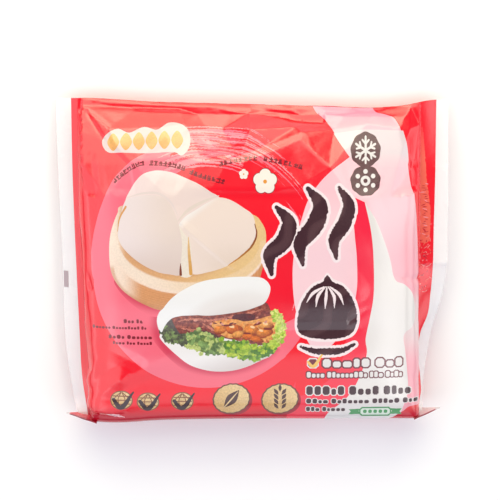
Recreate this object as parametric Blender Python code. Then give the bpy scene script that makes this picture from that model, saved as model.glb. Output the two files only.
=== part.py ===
"""A shut bag of frozen folded buns, lying on its back with the printed side up.

Metres, +Z up. +Y runs up the bag to its top seal, and +X runs to the right of its print.
The origin is on the floor, under the middle of the bag. The tables below are in millimetres.
"""

import math

import bmesh
import bpy
import numpy as np

MM = 0.001

# Welded film, thicker than the real 0.2 mm so that the solid is sound
SEAL_THICKNESS = 0.9

# The outline from the front, as (height up the bag, place across it)
LEFT_SEAL = ((-98, -100.8), (-60, -102.6), (-20, -104.6), (0, -105.4), (40, -106.6), (100, -107))
RIGHT_SEAL = ((-98, 104.8), (-68, 103.8), (-20, 103.2), (100, 103.2))
LEFT_EDGE = ((-98, -108.6), (-88, -111.8), (-70, -114.8), (5, -118.1), (70, -120.3), (100, -121))
RIGHT_EDGE = ((-98, 107.4), (-68, 109.4), (-45, 113), (-24, 118.7), (28, 121.2), (100, 120.6))

# True widths of the left and right side seals, which droop where the outline is narrower
FIN_WIDTHS = (14.5, 18.0)
MOST_DROOP = 9.0
FIN_HELD_AT_FOOT = (-100, -84)
LEAST_FIN_HEIGHT = 1.5
FIN_BEND = 1.4

# How far the top edge and the foot of the bag rise from level, as (place across, rise)
TOP_RISE = (
    (-121, 2.4),
    (-108, 2.8),
    (-62, 0.4),
    (-20, -0.8),
    (45, -2.4),
    (75, -3.2),
    (95, -1.6),
    (108, 1.2),
    (121, 1.8),
)
FOOT_RISE = ((-121, -3.4), (-80, -4.2), (-62, -2.9), (-20, -1.8), (50, -1.6), (92, -1.6), (121, -3.0))

# Heights up the bag where the rise of the top edge starts and is whole, and where that of the foot is whole
# and ends
TOP_RISES = (20, 97)
FOOT_RISES = (-97, -40)

# Height of the side seals above the floor, as (height up the bag, height above the floor)
SEAL_PLANE = ((-98, 17), (0, 17.5), (60, 14.5), (98, 9))

# The bag's side view on its middle line, as (height up the bag, height above the floor)
FRONT_PROFILE = (
    (97.5, 9.4),
    (91.5, 10.2),
    (86, 15),
    (76, 23),
    (58, 31),
    (32, 37.5),
    (0, 40.6),
    (-35, 41.6),
    (-68, 40.6),
    (-87, 38),
    (-95, 33.5),
    (-97.5, 26),
)
BACK_PROFILE = ((-97.5, 11), (-95.5, 4), (-89, 0), (-60, 0), (30, 0), (76, 0), (91, 4.5), (97.5, 8.6))
FRONT_ROWS = 50
FOOT_ROWS = 6
BACK_ROWS = 24

# How boxy the bag is across, from a lens shape near the top seal to a box at the foot
BOXINESS = ((-98, 8), (-82, 6), (-20, 4.6), (50, 3.4), (98, 2.4))
FLAT_SHARE = 0.88
FLAT_COLUMNS = 20
END_COLUMNS = 7
END_BOXINESS = 4.8
FIN_COLUMNS = 3

# Folds in the front film: start, end, height and half width. A height under 0 is a valley.
FOLDS = (
    ((-104, 92), (-72, 62), -1.6, 7),
    ((-92, 90), (12, 91), -1.3, 5),
    ((8, 92), (48, 82), -1.5, 6),
    ((-16, 62), (54, 80), 1.8, 8),
    ((62, 70), (30, 42), 1.4, 9),
    ((16, 92), (52, 76), 1.3, 6),
    ((97, 92), (98, -20), 1.1, 5),
    ((-98, 14), (-94, -66), -1.3, 6),
    ((-92, -64), (-99, -78), 1.2, 5),
)

# Soft swellings where the buns press on the film, in two columns
BUN_PITCH = 36.0
BUN_SWELL = 0.7
BUN_COLUMN = 50.0
BUN_COLUMN_WIDTH = 34.0
BUN_ROW = -20.0
BUN_FADES = (-90, -70, 20, 70)

# The front film is free to fold and swell only away from the seals and the foot's edge
FREE_FULLNESS = 0.5
FREE_FROM_FOOT = (-97, -86)

# The folded corners that stick out at the foot: the tip, the root's place across, and its span above the
# floor
EARS = (
    ("ear_left", (-116.6, -98.4, 18.5), -96.5, (3.0, 35.0)),
    ("ear_right", (118.4, -95.2, 17.5), 101.0, (3.5, 33.5)),
)
EAR_THICKNESS = 1.0
EAR_STEPS = 6
EAR_TIP = 1.2
EAR_HOLLOW = 1.25

# The film's colour, linear, and its gloss
PRINT_RED = (0.8, 0.012, 0.035, 1.0)
FILM_ROUGHNESS = 0.3


def curve(points, at):
    """A smooth curve through (place, value) points, read at one or many places and level past its ends."""
    places = np.array([p[0] for p in points], float)
    values = np.array([p[1] for p in points], float)
    slopes = np.gradient(values, places)
    at = np.clip(np.asarray(at, float), places[0], places[-1])
    left = np.clip(np.searchsorted(places, at, side="right") - 1, 0, len(places) - 2)
    span = places[left + 1] - places[left]
    t = (at - places[left]) / span
    start = values[left] * (1 + 2 * t) * (1 - t) ** 2 + slopes[left] * span * t * (1 - t) ** 2
    end = values[left + 1] * t**2 * (3 - 2 * t) + slopes[left + 1] * span * t**2 * (t - 1)
    return start + end


def ramp(low, high, at):
    """Rises smoothly from 0 at low to 1 at high."""
    t = np.clip((np.asarray(at, float) - low) / (high - low), 0, 1)
    return t * t * (3 - 2 * t)


def along(points, count):
    """Evenly spaced places on the smooth curve through a list of (y, z) points."""
    points = np.array(points, float)
    run = np.r_[0, np.cumsum(np.linalg.norm(np.diff(points, axis=0), axis=1))]
    fine = np.linspace(0, run[-1], 40 * count)
    path = np.c_[curve(tuple(zip(run, points[:, 0])), fine), curve(tuple(zip(run, points[:, 1])), fine)]
    length = np.r_[0, np.cumsum(np.linalg.norm(np.diff(path, axis=0), axis=1))]
    even = np.linspace(0, length[-1], count)
    return np.c_[np.interp(even, length, path[:, 0]), np.interp(even, length, path[:, 1])]


def middle_loop():
    """The closed side view, from the top seal down the front, round the foot and up the back."""
    front = along(FRONT_PROFILE, FRONT_ROWS)
    foot = along((FRONT_PROFILE[-1], BACK_PROFILE[0]), FOOT_ROWS)
    back = along(BACK_PROFILE, BACK_ROWS)
    return np.r_[front, foot[1:-1], back]


def stations():
    """Places across the bag from edge to edge: -1 and 1 are the side seals, and -2 and 2 the outer edges."""
    flat = np.linspace(0, FLAT_SHARE, FLAT_COLUMNS + 1)
    first = (1 - FLAT_SHARE**END_BOXINESS) ** (1 / END_BOXINESS)
    end = (1 - np.linspace(first, 0, END_COLUMNS + 1)[1:] ** END_BOXINESS) ** (1 / END_BOXINESS)
    fin = 1 + np.arange(1, FIN_COLUMNS + 1) / FIN_COLUMNS
    half = np.r_[flat, end, fin]
    return np.r_[-half[:0:-1], half]


def across(station, y):
    """The place across the bag of a station, at a height up the bag."""
    left, right = curve(LEFT_SEAL, y), curve(RIGHT_SEAL, y)
    if station < -1:
        return left + (curve(LEFT_EDGE, y) - left) * (-station - 1)
    if station > 1:
        return right + (curve(RIGHT_EDGE, y) - right) * (station - 1)
    return left + (right - left) * (station + 1) / 2


def fold_height(x, y):
    """The height that the folds add to the front film."""
    height = np.zeros_like(x)
    for (x1, y1), (x2, y2), top, width in FOLDS:
        run = np.array((x2 - x1, y2 - y1), float)
        t = np.clip(((x - x1) * run[0] + (y - y1) * run[1]) / run.dot(run), 0, 1)
        away = np.hypot(x - x1 - t * run[0], y - y1 - t * run[1])
        height += top * np.clip(1 - away / width, 0, None)
    return height


def bun_swell(x, y):
    rows = 0.5 + 0.5 * np.cos(2 * math.pi * (y - BUN_ROW) / BUN_PITCH)
    columns = np.exp(-(((np.abs(x) - BUN_COLUMN) / BUN_COLUMN_WIDTH) ** 2))
    inside = ramp(*BUN_FADES[:2], y) * (1 - ramp(*BUN_FADES[2:], y))
    return BUN_SWELL * rows * columns * inside


def fin_droop(station, y, plane):
    """How far a side seal has sunk at a station: it keeps its true width, whatever the outline shows."""
    left = station < 0
    shown = curve(LEFT_EDGE if left else RIGHT_EDGE, y) - curve(LEFT_SEAL if left else RIGHT_SEAL, y)
    width = FIN_WIDTHS[0 if left else 1]
    whole = np.sqrt(np.maximum(width**2 - shown**2, 0))
    held = MOST_DROOP * np.tanh(whole / MOST_DROOP) * ramp(*FIN_HELD_AT_FOOT, y)
    return np.minimum(held, plane - LEAST_FIN_HEIGHT) * (abs(station) - 1) ** FIN_BEND


def column(station, loop, front_share):
    """One closed loop of points round the bag, at a station."""
    y, z = loop[:, 0], loop[:, 1]
    x = across(station, y)
    plane = curve(SEAL_PLANE, y)
    side = np.where(np.arange(len(loop)) < front_share, 1.0, -1.0) * SEAL_THICKNESS / 2
    if abs(station) >= 1:
        z = plane - fin_droop(station, y, plane) + side
    else:
        box = curve(BOXINESS, y)
        full = (1 - np.abs(station) ** box) ** (1 / box)
        swell = np.where(side > 0, fold_height(x, y) + bun_swell(x, y), 0)
        swell = swell * ramp(0, FREE_FULLNESS, full) * ramp(*FREE_FROM_FOOT, y)
        z = np.maximum(plane + side + full * (z - plane - side) + swell, 0)
    rise = curve(TOP_RISE, x) * ramp(*TOP_RISES, y) + curve(FOOT_RISE, x) * (1 - ramp(*FOOT_RISES, y))
    return np.c_[x, y + rise, z]


def film_points():
    """The points of the bag's whole skin, one row for each station."""
    loop = middle_loop()
    front_share = FRONT_ROWS + FOOT_ROWS // 2 - 1
    return np.array([column(station, loop, front_share) for station in stations()])


def new_object(name, mesh, material):
    mesh.materials.append(material)
    piece = bpy.data.objects.new(name, mesh)
    bpy.context.scene.collection.objects.link(piece)
    return piece


def finish_mesh(work, name, smooth):
    bmesh.ops.triangulate(work, faces=work.faces)
    bmesh.ops.recalc_face_normals(work, faces=work.faces)
    mesh = bpy.data.meshes.new(name)
    work.to_mesh(mesh)
    work.free()
    for polygon in mesh.polygons:
        polygon.use_smooth = smooth
    return mesh


def bag_mesh(points):
    """The skin as one closed mesh: a ring of faces between each two stations, and a cap at each end."""
    work = bmesh.new()
    rings = [[work.verts.new(point * MM) for point in row] for row in points]
    size = len(rings[0])
    for near, far in zip(rings, rings[1:]):
        for i in range(size):
            after = (i + 1) % size
            work.faces.new((near[i], near[after], far[after], far[i]))
    work.faces.new(rings[0])
    work.faces.new(rings[-1])
    return finish_mesh(work, "bag", True)


def ear_outline(tip, root_x, root_span):
    """A triangle with slightly hollow edges, from the foot's end wall to a blunt tip."""
    tip = np.array(tip)
    low, high = root_span
    root = np.array((root_x, curve(FOOT_RISE, root_x) + FOOT_RISES[0], (low + high) / 2))
    upper, lower = [], []
    for step in range(EAR_STEPS + 1):
        t = step / EAR_STEPS
        half = EAR_TIP / 2 + ((high - low) - EAR_TIP) / 2 * (1 - t) ** EAR_HOLLOW
        centre = root + (tip - root) * t
        upper.append(centre + (0, 0, half))
        lower.append(centre - (0, 0, half))
    return upper + lower[::-1]


def ear_mesh(name, outline, middle):
    work = bmesh.new()
    near = [work.verts.new((point - middle) * MM) for point in outline]
    made = bmesh.ops.extrude_face_region(work, geom=[work.faces.new(near)])
    moved = [v for v in made["geom"] if isinstance(v, bmesh.types.BMVert)]
    bmesh.ops.translate(work, verts=moved, vec=(0, EAR_THICKNESS * MM, 0))
    return finish_mesh(work, name, False)


def film_material():
    material = bpy.data.materials.new("printed_film")
    material.use_nodes = True
    shader = material.node_tree.nodes["Principled BSDF"]
    shader.inputs["Base Color"].default_value = PRINT_RED
    shader.inputs["Roughness"].default_value = FILM_ROUGHNESS
    shader.inputs["Metallic"].default_value = 0.0
    return material


def clear_scene():
    for thing in list(bpy.data.objects):
        bpy.data.objects.remove(thing, do_unlink=True)


def build():
    clear_scene()
    material = film_material()
    points = film_points()
    low, high = points.min(axis=(0, 1)), points.max(axis=(0, 1))
    middle = np.array(((low[0] + high[0]) / 2, (low[1] + high[1]) / 2, low[2]))
    bag = new_object("bag", bag_mesh(points - middle), material)
    for name, tip, root_x, root_span in EARS:
        outline = ear_outline(tip, root_x, root_span)
        ear = new_object(name, ear_mesh(name, outline, middle), material)
        ear.hide_render = True
        ear.display_type = "WIRE"
        join = bag.modifiers.new(name, "BOOLEAN")
        join.operation = "UNION"
        join.solver = "MANIFOLD"
        join.object = ear


build()
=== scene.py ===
"""The looks of a shut, printed bag of frozen folded buns that lies on its back.
"""

import math

import bpy
import numpy as np
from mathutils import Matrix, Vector, geometry


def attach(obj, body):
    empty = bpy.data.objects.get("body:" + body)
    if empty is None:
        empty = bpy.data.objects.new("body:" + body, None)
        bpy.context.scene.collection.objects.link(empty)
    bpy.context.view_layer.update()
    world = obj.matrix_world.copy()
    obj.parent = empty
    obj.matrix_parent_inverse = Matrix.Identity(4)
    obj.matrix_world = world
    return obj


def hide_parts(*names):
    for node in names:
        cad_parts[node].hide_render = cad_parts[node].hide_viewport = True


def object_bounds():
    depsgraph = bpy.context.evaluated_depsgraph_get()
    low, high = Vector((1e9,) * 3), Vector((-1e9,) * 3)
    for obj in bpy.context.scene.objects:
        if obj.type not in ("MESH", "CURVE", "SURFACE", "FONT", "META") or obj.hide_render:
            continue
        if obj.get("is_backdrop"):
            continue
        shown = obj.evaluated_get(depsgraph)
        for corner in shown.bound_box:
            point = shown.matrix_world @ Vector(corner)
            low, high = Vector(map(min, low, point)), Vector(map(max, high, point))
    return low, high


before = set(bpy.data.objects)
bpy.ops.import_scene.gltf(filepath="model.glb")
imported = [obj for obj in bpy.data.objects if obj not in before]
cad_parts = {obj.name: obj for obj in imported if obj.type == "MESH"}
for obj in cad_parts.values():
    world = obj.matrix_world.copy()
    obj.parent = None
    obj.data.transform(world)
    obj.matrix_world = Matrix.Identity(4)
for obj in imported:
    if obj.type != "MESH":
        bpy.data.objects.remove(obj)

MM = 0.001
CAD_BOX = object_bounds()

# The outline from the front, as (height up the bag, place across it)
LEFT_SEAL = ((-98, -100.8), (-60, -102.6), (-20, -104.6), (0, -105.4), (40, -106.6), (100, -107))
RIGHT_SEAL = ((-98, 104.8), (-68, 103.8), (-20, 103.2), (100, 103.2))
LEFT_PRINT = ((-98, -102.8), (-72, -106.6), (-47, -107.6), (-5, -109.0), (58, -110.7), (100, -111.3))
RIGHT_PRINT = (
    (-98, 105.3), (-89, 105.4), (-84, 106.7), (-76, 106.1), (-65, 104.7), (-58, 104.4), (-51, 104.4),
    (-46, 105.4), (-36, 109.6), (-21, 111.4), (27, 112.6), (100, 113.6),
)
LEFT_EDGE = ((-98, -108.6), (-88, -111.8), (-70, -114.8), (5, -118.1), (70, -120.3), (100, -121))
RIGHT_EDGE = ((-98, 107.4), (-68, 109.4), (-45, 113), (-24, 118.7), (28, 121.2), (60, 121.1), (100, 121.0))

# The six lines that run up the bag, and the station of each across it: 1 at a side seal, 1.5 at the edge of
# the print and 2 at the outer edge, with a minus at the left
ROWS = (LEFT_EDGE, LEFT_PRINT, LEFT_SEAL, RIGHT_SEAL, RIGHT_PRINT, RIGHT_EDGE)
MARKS = np.array((-2, -1.5, -1, 1, 1.5, 2))

# How far the top edge and the foot rise from level, as (place across, rise), and the heights up the bag
# between which each rise sets in
TOP_RISE = (
    (-121, 2.4), (-108, 2.8), (-62, 0.4), (-20, -0.8), (45, -2.4), (75, -3.2), (95, -1.6), (108, 1.2),
    (121, 1.8),
)
FOOT_RISE = ((-121, -3.4), (-80, -4.2), (-62, -2.9), (-20, -1.8), (50, -1.6), (92, -1.6), (121, -3.0))
TOP_SETS_IN = (20, 97)
FOOT_SETS_IN = (-97, -40)

# Height of the side seals above the floor, as (height up the bag, height above the floor)
SEAL_PLANE = ((-98, 17), (0, 17.5), (60, 14.5), (98, 9))

# The bag's side view on its middle line, as (height up the bag, height above the floor)
FRONT_PROFILE = (
    (97.5, 9.4), (91.5, 10.2), (86, 15), (76, 23), (58, 31), (32, 37.5), (0, 40.6), (-35, 41.6), (-68, 40.6),
    (-87, 38), (-95, 33.5), (-97.5, 26),
)
BACK_PROFILE = ((-97.5, 11), (-95.5, 4), (-89, 0), (-60, 0), (30, 0), (76, 0), (91, 4.5), (97.5, 8.6))

# How boxy the bag's section across is at each height up the bag
BOXINESS = ((-98, 8), (-82, 6), (-20, 4.6), (50, 3.4), (98, 2.4))
# A typical end wall, which sets how the flat film runs across the bag: its boxiness, half width and rise
END_BOXINESS = 4.4
END_HALF = 104
END_RISE = 20.0

# Half the gap between the two films of a seal
WELD = 0.15

# True widths of the left and right side seals, which droop where the outline is narrower
FIN_WIDTHS = (14.5, 18.0)
MOST_DROOP = 9.0
FIN_HELD_AT_FOOT = (-100, -84)
LEAST_FIN_HEIGHT = 1.5
FIN_BEND = 1.15

# The film lies flat across the bag over this half width, then the printed and the clear part of its seal
FLAT_HALF = 120.0
FLAT_PRINT = 8.0
FLAT_CLEAR = 9.0
PRINT_EDGE = FLAT_HALF + FLAT_PRINT
OUTER_EDGE = PRINT_EDGE + FLAT_CLEAR


def curve(points, at):
    """A smooth curve through (place, value) points, read at one or many places and level past its ends."""
    places = np.array([p[0] for p in points], float)
    values = np.array([p[1] for p in points], float)
    slopes = np.gradient(values, places)
    at = np.clip(np.asarray(at, float), places[0], places[-1])
    left = np.clip(np.searchsorted(places, at, side="right") - 1, 0, len(places) - 2)
    span = places[left + 1] - places[left]
    t = (at - places[left]) / span
    start = values[left] * (1 + 2 * t) * (1 - t) ** 2 + slopes[left] * span * t * (1 - t) ** 2
    end = values[left + 1] * t**2 * (3 - 2 * t) + slopes[left + 1] * span * t**2 * (t - 1)
    return start + end


def ramp(low, high, at):
    """Rises smoothly from 0 at low to 1 at high."""
    t = np.clip((np.asarray(at, float) - low) / (high - low), 0, 1)
    return t * t * (3 - 2 * t)


def run_along(points):
    """The length along a row of points, up to each of them."""
    return np.r_[0, np.cumsum(np.linalg.norm(np.diff(points, axis=0), axis=1))]


def path_of(points, count=600):
    """A smooth curve through (y, z) points, as many places spread evenly along it."""
    points = np.array(points, float)
    run = run_along(points)
    fine = np.linspace(0, run[-1], count)
    return np.c_[curve(tuple(zip(run, points[:, 0])), fine), curve(tuple(zip(run, points[:, 1])), fine)]


def rises(x, y):
    """How far the top edge and the foot lift a place of the level outline."""
    return curve(TOP_RISE, x) * ramp(*TOP_SETS_IN, y), curve(FOOT_RISE, x) * (1 - ramp(*FOOT_SETS_IN, y))


class Film:
    """The bag's skin. A point of it has two film coordinates, in millimetres of flat film: a runs across,
    and w runs from the top seal down the front, round the foot and up the back."""

    def __init__(self):
        front = path_of(FRONT_PROFILE)
        foot = path_of((FRONT_PROFILE[-1], BACK_PROFILE[0]), 60)
        self.loop = np.r_[front, foot[1:-1], path_of(BACK_PROFILE)]
        self.length = run_along(self.loop)
        self.front_end = self.length[len(front) - 1]
        self.back_start = self.length[len(front) + len(foot) - 2]
        self.total = self.length[-1]
        self.fold = (self.front_end + self.back_start) / 2
        self.side_table()
        self.centre_shift()

    def side_table(self):
        """Stations across the bag against flat film width: round an end wall, then out along the seal."""
        turn = np.linspace(0, math.pi / 2, 4000)
        station, height = np.sin(turn) ** (2 / END_BOXINESS), np.cos(turn) ** (2 / END_BOXINESS)
        run = run_along(np.c_[station * END_HALF, height * END_RISE])
        self.flat = np.r_[run / run[-1] * FLAT_HALF, PRINT_EDGE, OUTER_EDGE]
        self.station = np.r_[station, MARKS[-2:]]

    def station_of(self, a):
        return np.sign(a) * np.interp(np.abs(a), self.flat, self.station)

    def flat_of(self, station):
        return np.sign(station) * np.interp(np.abs(station), self.station, self.flat)

    def across(self, station, y):
        """The place across the bag of a station at a height up the bag."""
        places = np.array([curve(row, y) for row in ROWS])
        left = np.clip(np.searchsorted(MARKS, station, side="right") - 1, 0, len(MARKS) - 2)
        near = np.take_along_axis(places, left[None], 0)[0]
        far = np.take_along_axis(places, left[None] + 1, 0)[0]
        return near + (far - near) * (station - MARKS[left]) / (MARKS[left + 1] - MARKS[left])

    def film_of_plan(self, x, y, behind=False):
        """The film coordinates of a place on the front, or on the back, seen in plan."""
        x, y = np.asarray(x, float), np.asarray(y, float)
        level = y
        for _ in range(4):
            top, foot = rises(x, level)
            level = y - top - foot
        places = [curve(row, level) for row in ROWS]
        station = np.full(x.shape, MARKS[0])
        for near, far, mark, after in zip(places, places[1:], MARKS, MARKS[1:]):
            t = (x - near) / (far - near)
            station = np.where(t >= 0, mark + np.clip(t, 0, 1) * (after - mark), station)
        if behind:
            back = self.length >= self.back_start
            return self.flat_of(station), np.interp(level, self.loop[back, 0], self.length[back])
        front = self.length <= self.front_end
        w = np.interp(-level, -self.loop[front, 0], self.length[front])
        return self.flat_of(station), w + np.maximum(self.loop[front, 0].min() - level, 0)

    def base(self, a, w):
        """The smooth shape, with no creases."""
        station = self.station_of(a)
        y = np.interp(w, self.length, self.loop[:, 0])
        z = np.interp(w, self.length, self.loop[:, 1])
        x = self.across(station, y)
        plane = curve(SEAL_PLANE, y)
        side = np.where(w < self.fold, WELD, -WELD)
        box = curve(BOXINESS, y)
        full = (1 - np.minimum(np.abs(station), 1) ** box) ** (1 / box)
        body_z = plane + side + full * (z - plane - side)
        seal = np.where(station < 0, curve(LEFT_SEAL, y), curve(RIGHT_SEAL, y))
        edge = np.where(station < 0, curve(LEFT_EDGE, y), curve(RIGHT_EDGE, y))
        width = np.where(station < 0, *FIN_WIDTHS)
        out = np.abs(x - seal) / np.maximum(np.abs(edge - seal), 0.1)
        drop = np.sqrt(np.maximum(width**2 - (edge - seal) ** 2, 0))
        drop = MOST_DROOP * np.tanh(drop / MOST_DROOP) * ramp(*FIN_HELD_AT_FOOT, y)
        drop = np.minimum(drop, plane - LEAST_FIN_HEIGHT) * out**FIN_BEND
        z = np.where(np.abs(station) < 1, body_z, plane - drop + side)
        return np.stack((x, y + sum(rises(x, y)), np.maximum(z, 0)), -1)

    def centre_shift(self):
        """Moves the shape onto the CAD bag: the middles of their boxes meet, and both rest on the floor."""
        a, w = np.meshgrid(np.linspace(-OUTER_EDGE, OUTER_EDGE, 200), np.linspace(0, self.total, 400))
        points = self.base(a, w).reshape(-1, 3)
        low, high = points.min(0), points.max(0)
        cad_low, cad_high = np.array(CAD_BOX) / MM
        self.shift = (cad_low + cad_high) / 2 - (low + high) / 2
        self.shift[2] = cad_low[2] - low[2]

    def points(self, a, w, relief=None, step=0.4):
        """Places on the film in metres, with a relief(x, y, a, w) pushed out along its normal."""
        here = self.base(a, w)
        if relief is not None:
            along_a = self.base(a + step, w) - self.base(a - step, w)
            along_w = self.base(a, w + step) - self.base(a, w - step)
            normal = np.cross(along_w, along_a)
            normal /= np.maximum(np.linalg.norm(normal, axis=-1, keepdims=True), 1e-9)
            here = here + normal * relief(here[..., 0], here[..., 1], a, w)[..., None]
            here[..., 2] = np.maximum(here[..., 2], 0)
        return (here + self.shift) * MM


FILM = Film()

# Where many creases of the tucked part meet: a place in plan, and how far it stands off the smooth shape
CORNER = (-104.5, 96, 1.0)
STAR = (-2.4, 89.4, 2.8)
KNOT = (51, 81, 1.8)

# The top of the front is tucked into flat facets, the pieces of film between these creases
CREASES = (
    # the rim of the tucked part
    (
        CORNER, (-104.5, 101, 0), (-90, 99.9, 0), (-66, 98.9, 0), (-44, 98.3, 0), (-22, 97.7, 0),
        (0, 97.1, 0), (24, 96.4, 0), (44, 95.9, 0), (66, 95.3, 0), (84, 95.7, 0), (103, 98, 0),
        (103, 84, 0), (103, 64, 0), (102, 44, 0), (84, 42, 0), (62, 41, 0), (40, 40, 0), (18, 40, 0),
        (-4, 40, 0), (-26, 40, 0), (-48, 40, 0), (-70, 40, 0), (-88, 41, 0), (-103, 44, 0),
        (-104, 62, 2.2), (-104.5, 80, 1.8), CORNER,
    ),
    # the two creases from the left corner
    (CORNER, (-92.3, 76, 0.5), (-85.4, 70.9, 0.6), (-75.5, 61.7, 0.8)),
    (CORNER, (-87.5, 81.7, 2.3), (-82.5, 72.2, 1.7), (-73.2, 63.4, 1.5), (-75.5, 61.7, 0.8)),
    # the tuck under the top seal, which opens into a long dark lens
    (
        (-99.5, 99.3, 0.5), (-87.8, 97.2, 0.9), (-68.8, 96.4, 1.0), (-44.2, 95.2, 1.2), (-22.7, 94.3, 1.4),
        STAR,
    ),
    (
        (-99.5, 99.3, 0.5), (-87.8, 95.4, 1.0), (-68.8, 94.4, 1.0), (-44.2, 93.6, 1.3), (-33.7, 90, 1.1),
        (-13.4, 89.4, 1.6), STAR,
    ),
    # the bright facet under the lens and its neighbours
    ((-33.7, 90, 1.1), (-26.9, 82.3, -0.4), (-18.3, 82.3, -0.2), STAR),
    ((-44.2, 93.6, 1.3), (-41.6, 84, 2.2), (-37.9, 81.2, 0.6), (-26.9, 82.3, -0.4)),
    ((-87.5, 81.7, 2.3), (-56.3, 81.8, 2.5), (-41.6, 84, 2.2)),
    # the creases that run right from the star
    (STAR, (0.5, 94.5, 0.4), (0, 97.1, 0)),
    (STAR, (8, 93.4, 0.9), (24, 92.6, 1.7), (29.6, 89.5, 1.8)),
    (STAR, (14.2, 91.6, 0.8), (29.6, 89.5, 1.8), (43.7, 84.9, 0.8)),
    (STAR, (14.2, 88.2, 1.4), (28.3, 86, 0.5), (43.7, 84.9, 0.8)),
    ((-18.3, 82.3, -0.2), (-1.1, 79, 6.4), (26.4, 80.5, 5.6), KNOT),
    ((26.4, 80.5, 5.6), (23.4, 84.2, 3.8), (45.5, 83.8, 2.0), KNOT),
    # the bright arms of the wide V and the dark hollow between them
    (
        KNOT, (29.4, 77.4, 6.4), (6.2, 71, 3.0), (-7.2, 66.6, 2.0), (-16.4, 64, 3.2), (-31.6, 66.4, 1.2),
        (-43.8, 69.5, 0.4),
    ),
    (
        KNOT, (29.4, 74, 6.0), (3.7, 66, 3.6), (-7.2, 62.3, 3.1), (-16.4, 60.6, 2.8), (-31.6, 63.4, 1.9),
        (-43.8, 67, 0.8),
    ),
    ((-26.9, 82.3, -0.4), (-24, 73, -2.6), (-12, 73, -2.2), (-1.1, 79, 6.4)),
    ((-24, 73, -2.6), (-22.5, 66.5, 2.6), (-10.3, 67.5, 2.8), (-12, 73, -2.2)),
    # the dull facets at the right of the V
    (KNOT, (56.9, 70.3, 2.0), (47.6, 60, 2.2), (29.3, 61.8, 3.2), (20.2, 59.5, 2.6), (14.1, 46.1, 1.2)),
    ((47.6, 60, 2.2), (29.3, 50.2, 2.0), (14.1, 46.1, 1.2)),
    ((29.4, 74, 6.0), (29.3, 61.8, 3.2)),
    ((-16.4, 60.6, 2.8), (-25, 47, 1.2), (14.1, 46.1, 1.2)),
    # the ledge across the pale sweep and the strip beside the right seal
    (KNOT, (70.1, 82, 5.8), (89.7, 80.8, 3.4), (97, 81, 1.6), (103, 84, 0)),
    ((61.6, 94.2, 0.4), (70.1, 82, 5.8), (80, 95, 0.4)),
    ((56.9, 70.3, 2.0), (74, 70, 1.9), (92, 70, 1.2), (97, 81, 1.6), (97.5, 95, 0.4)),
)

# Creases of the rest of the front: start, end, the heights there, and the widths of the flanks at the left
# and right of one who walks from start to end. A height under 0 is a valley.
FOLDS = (
    ((-101, 93), (-86.9, 81.8), -0.35, -0.3, 1.4, 1.4),
    ((-101.5, 91.5), (-90.4, 76), -0.35, -0.3, 1.4, 1.4),
    ((-98.5, 66), (-94.5, 26), -0.3, -0.3, 4, 3),
    ((-105.8, 24), (-105.2, -6), -0.3, -1.9, 1.8, 1.6),
    ((-105.2, -6), (-104.2, -34), -1.9, -0.5, 1.8, 1.6),
    ((-102, -30), (-101.5, -66), -0.3, -1.2, 3.2, 2),
    ((-100.7, -5), (-98.8, -14), -0.3, -0.9, 2, 2),
    ((-96, -59), (-102.3, -75), 0.2, 1.3, 4, 2),
    ((-101, -86), (-81, -71), 0.7, 1.1, 9, 6),
    ((-81, -71), (-56, -57), 1.1, 0.3, 9, 8),
    ((-93.6, -49), (-69, -61), -0.3, -0.6, 6, 7),
    ((-97, -91.6), (-85, -92.4), 2.2, 1.4, 9, 2.5),
    ((20, -39), (63, -38.6), -0.7, -0.5, 5, 4),
    ((60, -33), (70, -26), -0.5, -0.2, 2, 3),
    ((64, -14), (54, 4), 0.6, 0.2, 8, 8),
    ((86, -5), (103, -9), -0.2, -0.9, 3, 3),
    ((100, -40), (102, -66), 0.4, 0.5, 6, 3),
    ((-41, 25), (-13, 1), 0.55, 0.35, 4.5, 2.2),
    ((-44, 30), (-52, 4), 0.5, 0.1, 7, 8),
    ((70, 40), (84, 6), 0.6, 0.2, 9, 9),
    ((98.5, 58), (100, 30), 0.5, 0.3, 3, 7),
)
CREASE_ROUNDING = 0.004

# Soft swellings where the buns press on the film, in two columns
BUN_PITCH = 36.0
BUN_SWELL = 0.8
BUN_COLUMN = 50.0
BUN_REACH = 34.0

# Crumpled film: how many centres, the least and most place, the spread of their lift and the seed
TOP_CRUMPLE = (80, (-122, 60), (122, 104), 0.25, 3)
SIDE_CRUMPLE = (260, (-126, -60), (126, 60), 0.3, 5)

# How high the film is crumpled in the tucked part, beside the seals, on the right seal and on the back
TUCKED_HEIGHT, SIDE_HEIGHT, CRIMP_HEIGHT, BACK_HEIGHT = 0.12, 0.1, 0.35, 0.5
# How much the crumples of the sides are drawn out along the bag
DRAWN_OUT = 0.55


def crumple(x, y, made_from, size):
    """A crumpled sheet: 0 in its hollows, 1 on the ridges where the cells of scattered centres meet."""
    count, low, high, lift, seed = made_from
    made = np.random.default_rng(seed)
    centres = made.uniform(low, high, (count, 2))
    lifts = made.normal(0, lift, count)
    places = np.stack((x.ravel(), y.ravel()), -1)
    out = np.empty(len(places))
    batch = 20000
    for start in range(0, len(places), batch):
        part = places[start : start + batch]
        away = ((part[:, None] - centres[None]) ** 2).sum(-1) / size**2 + lifts[None]
        nearest = np.partition(away, 1, axis=1)[:, :2]
        out[start : start + batch] = nearest[:, 1] - nearest[:, 0]
    return 1 - np.minimum(out, 1).reshape(x.shape)


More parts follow.
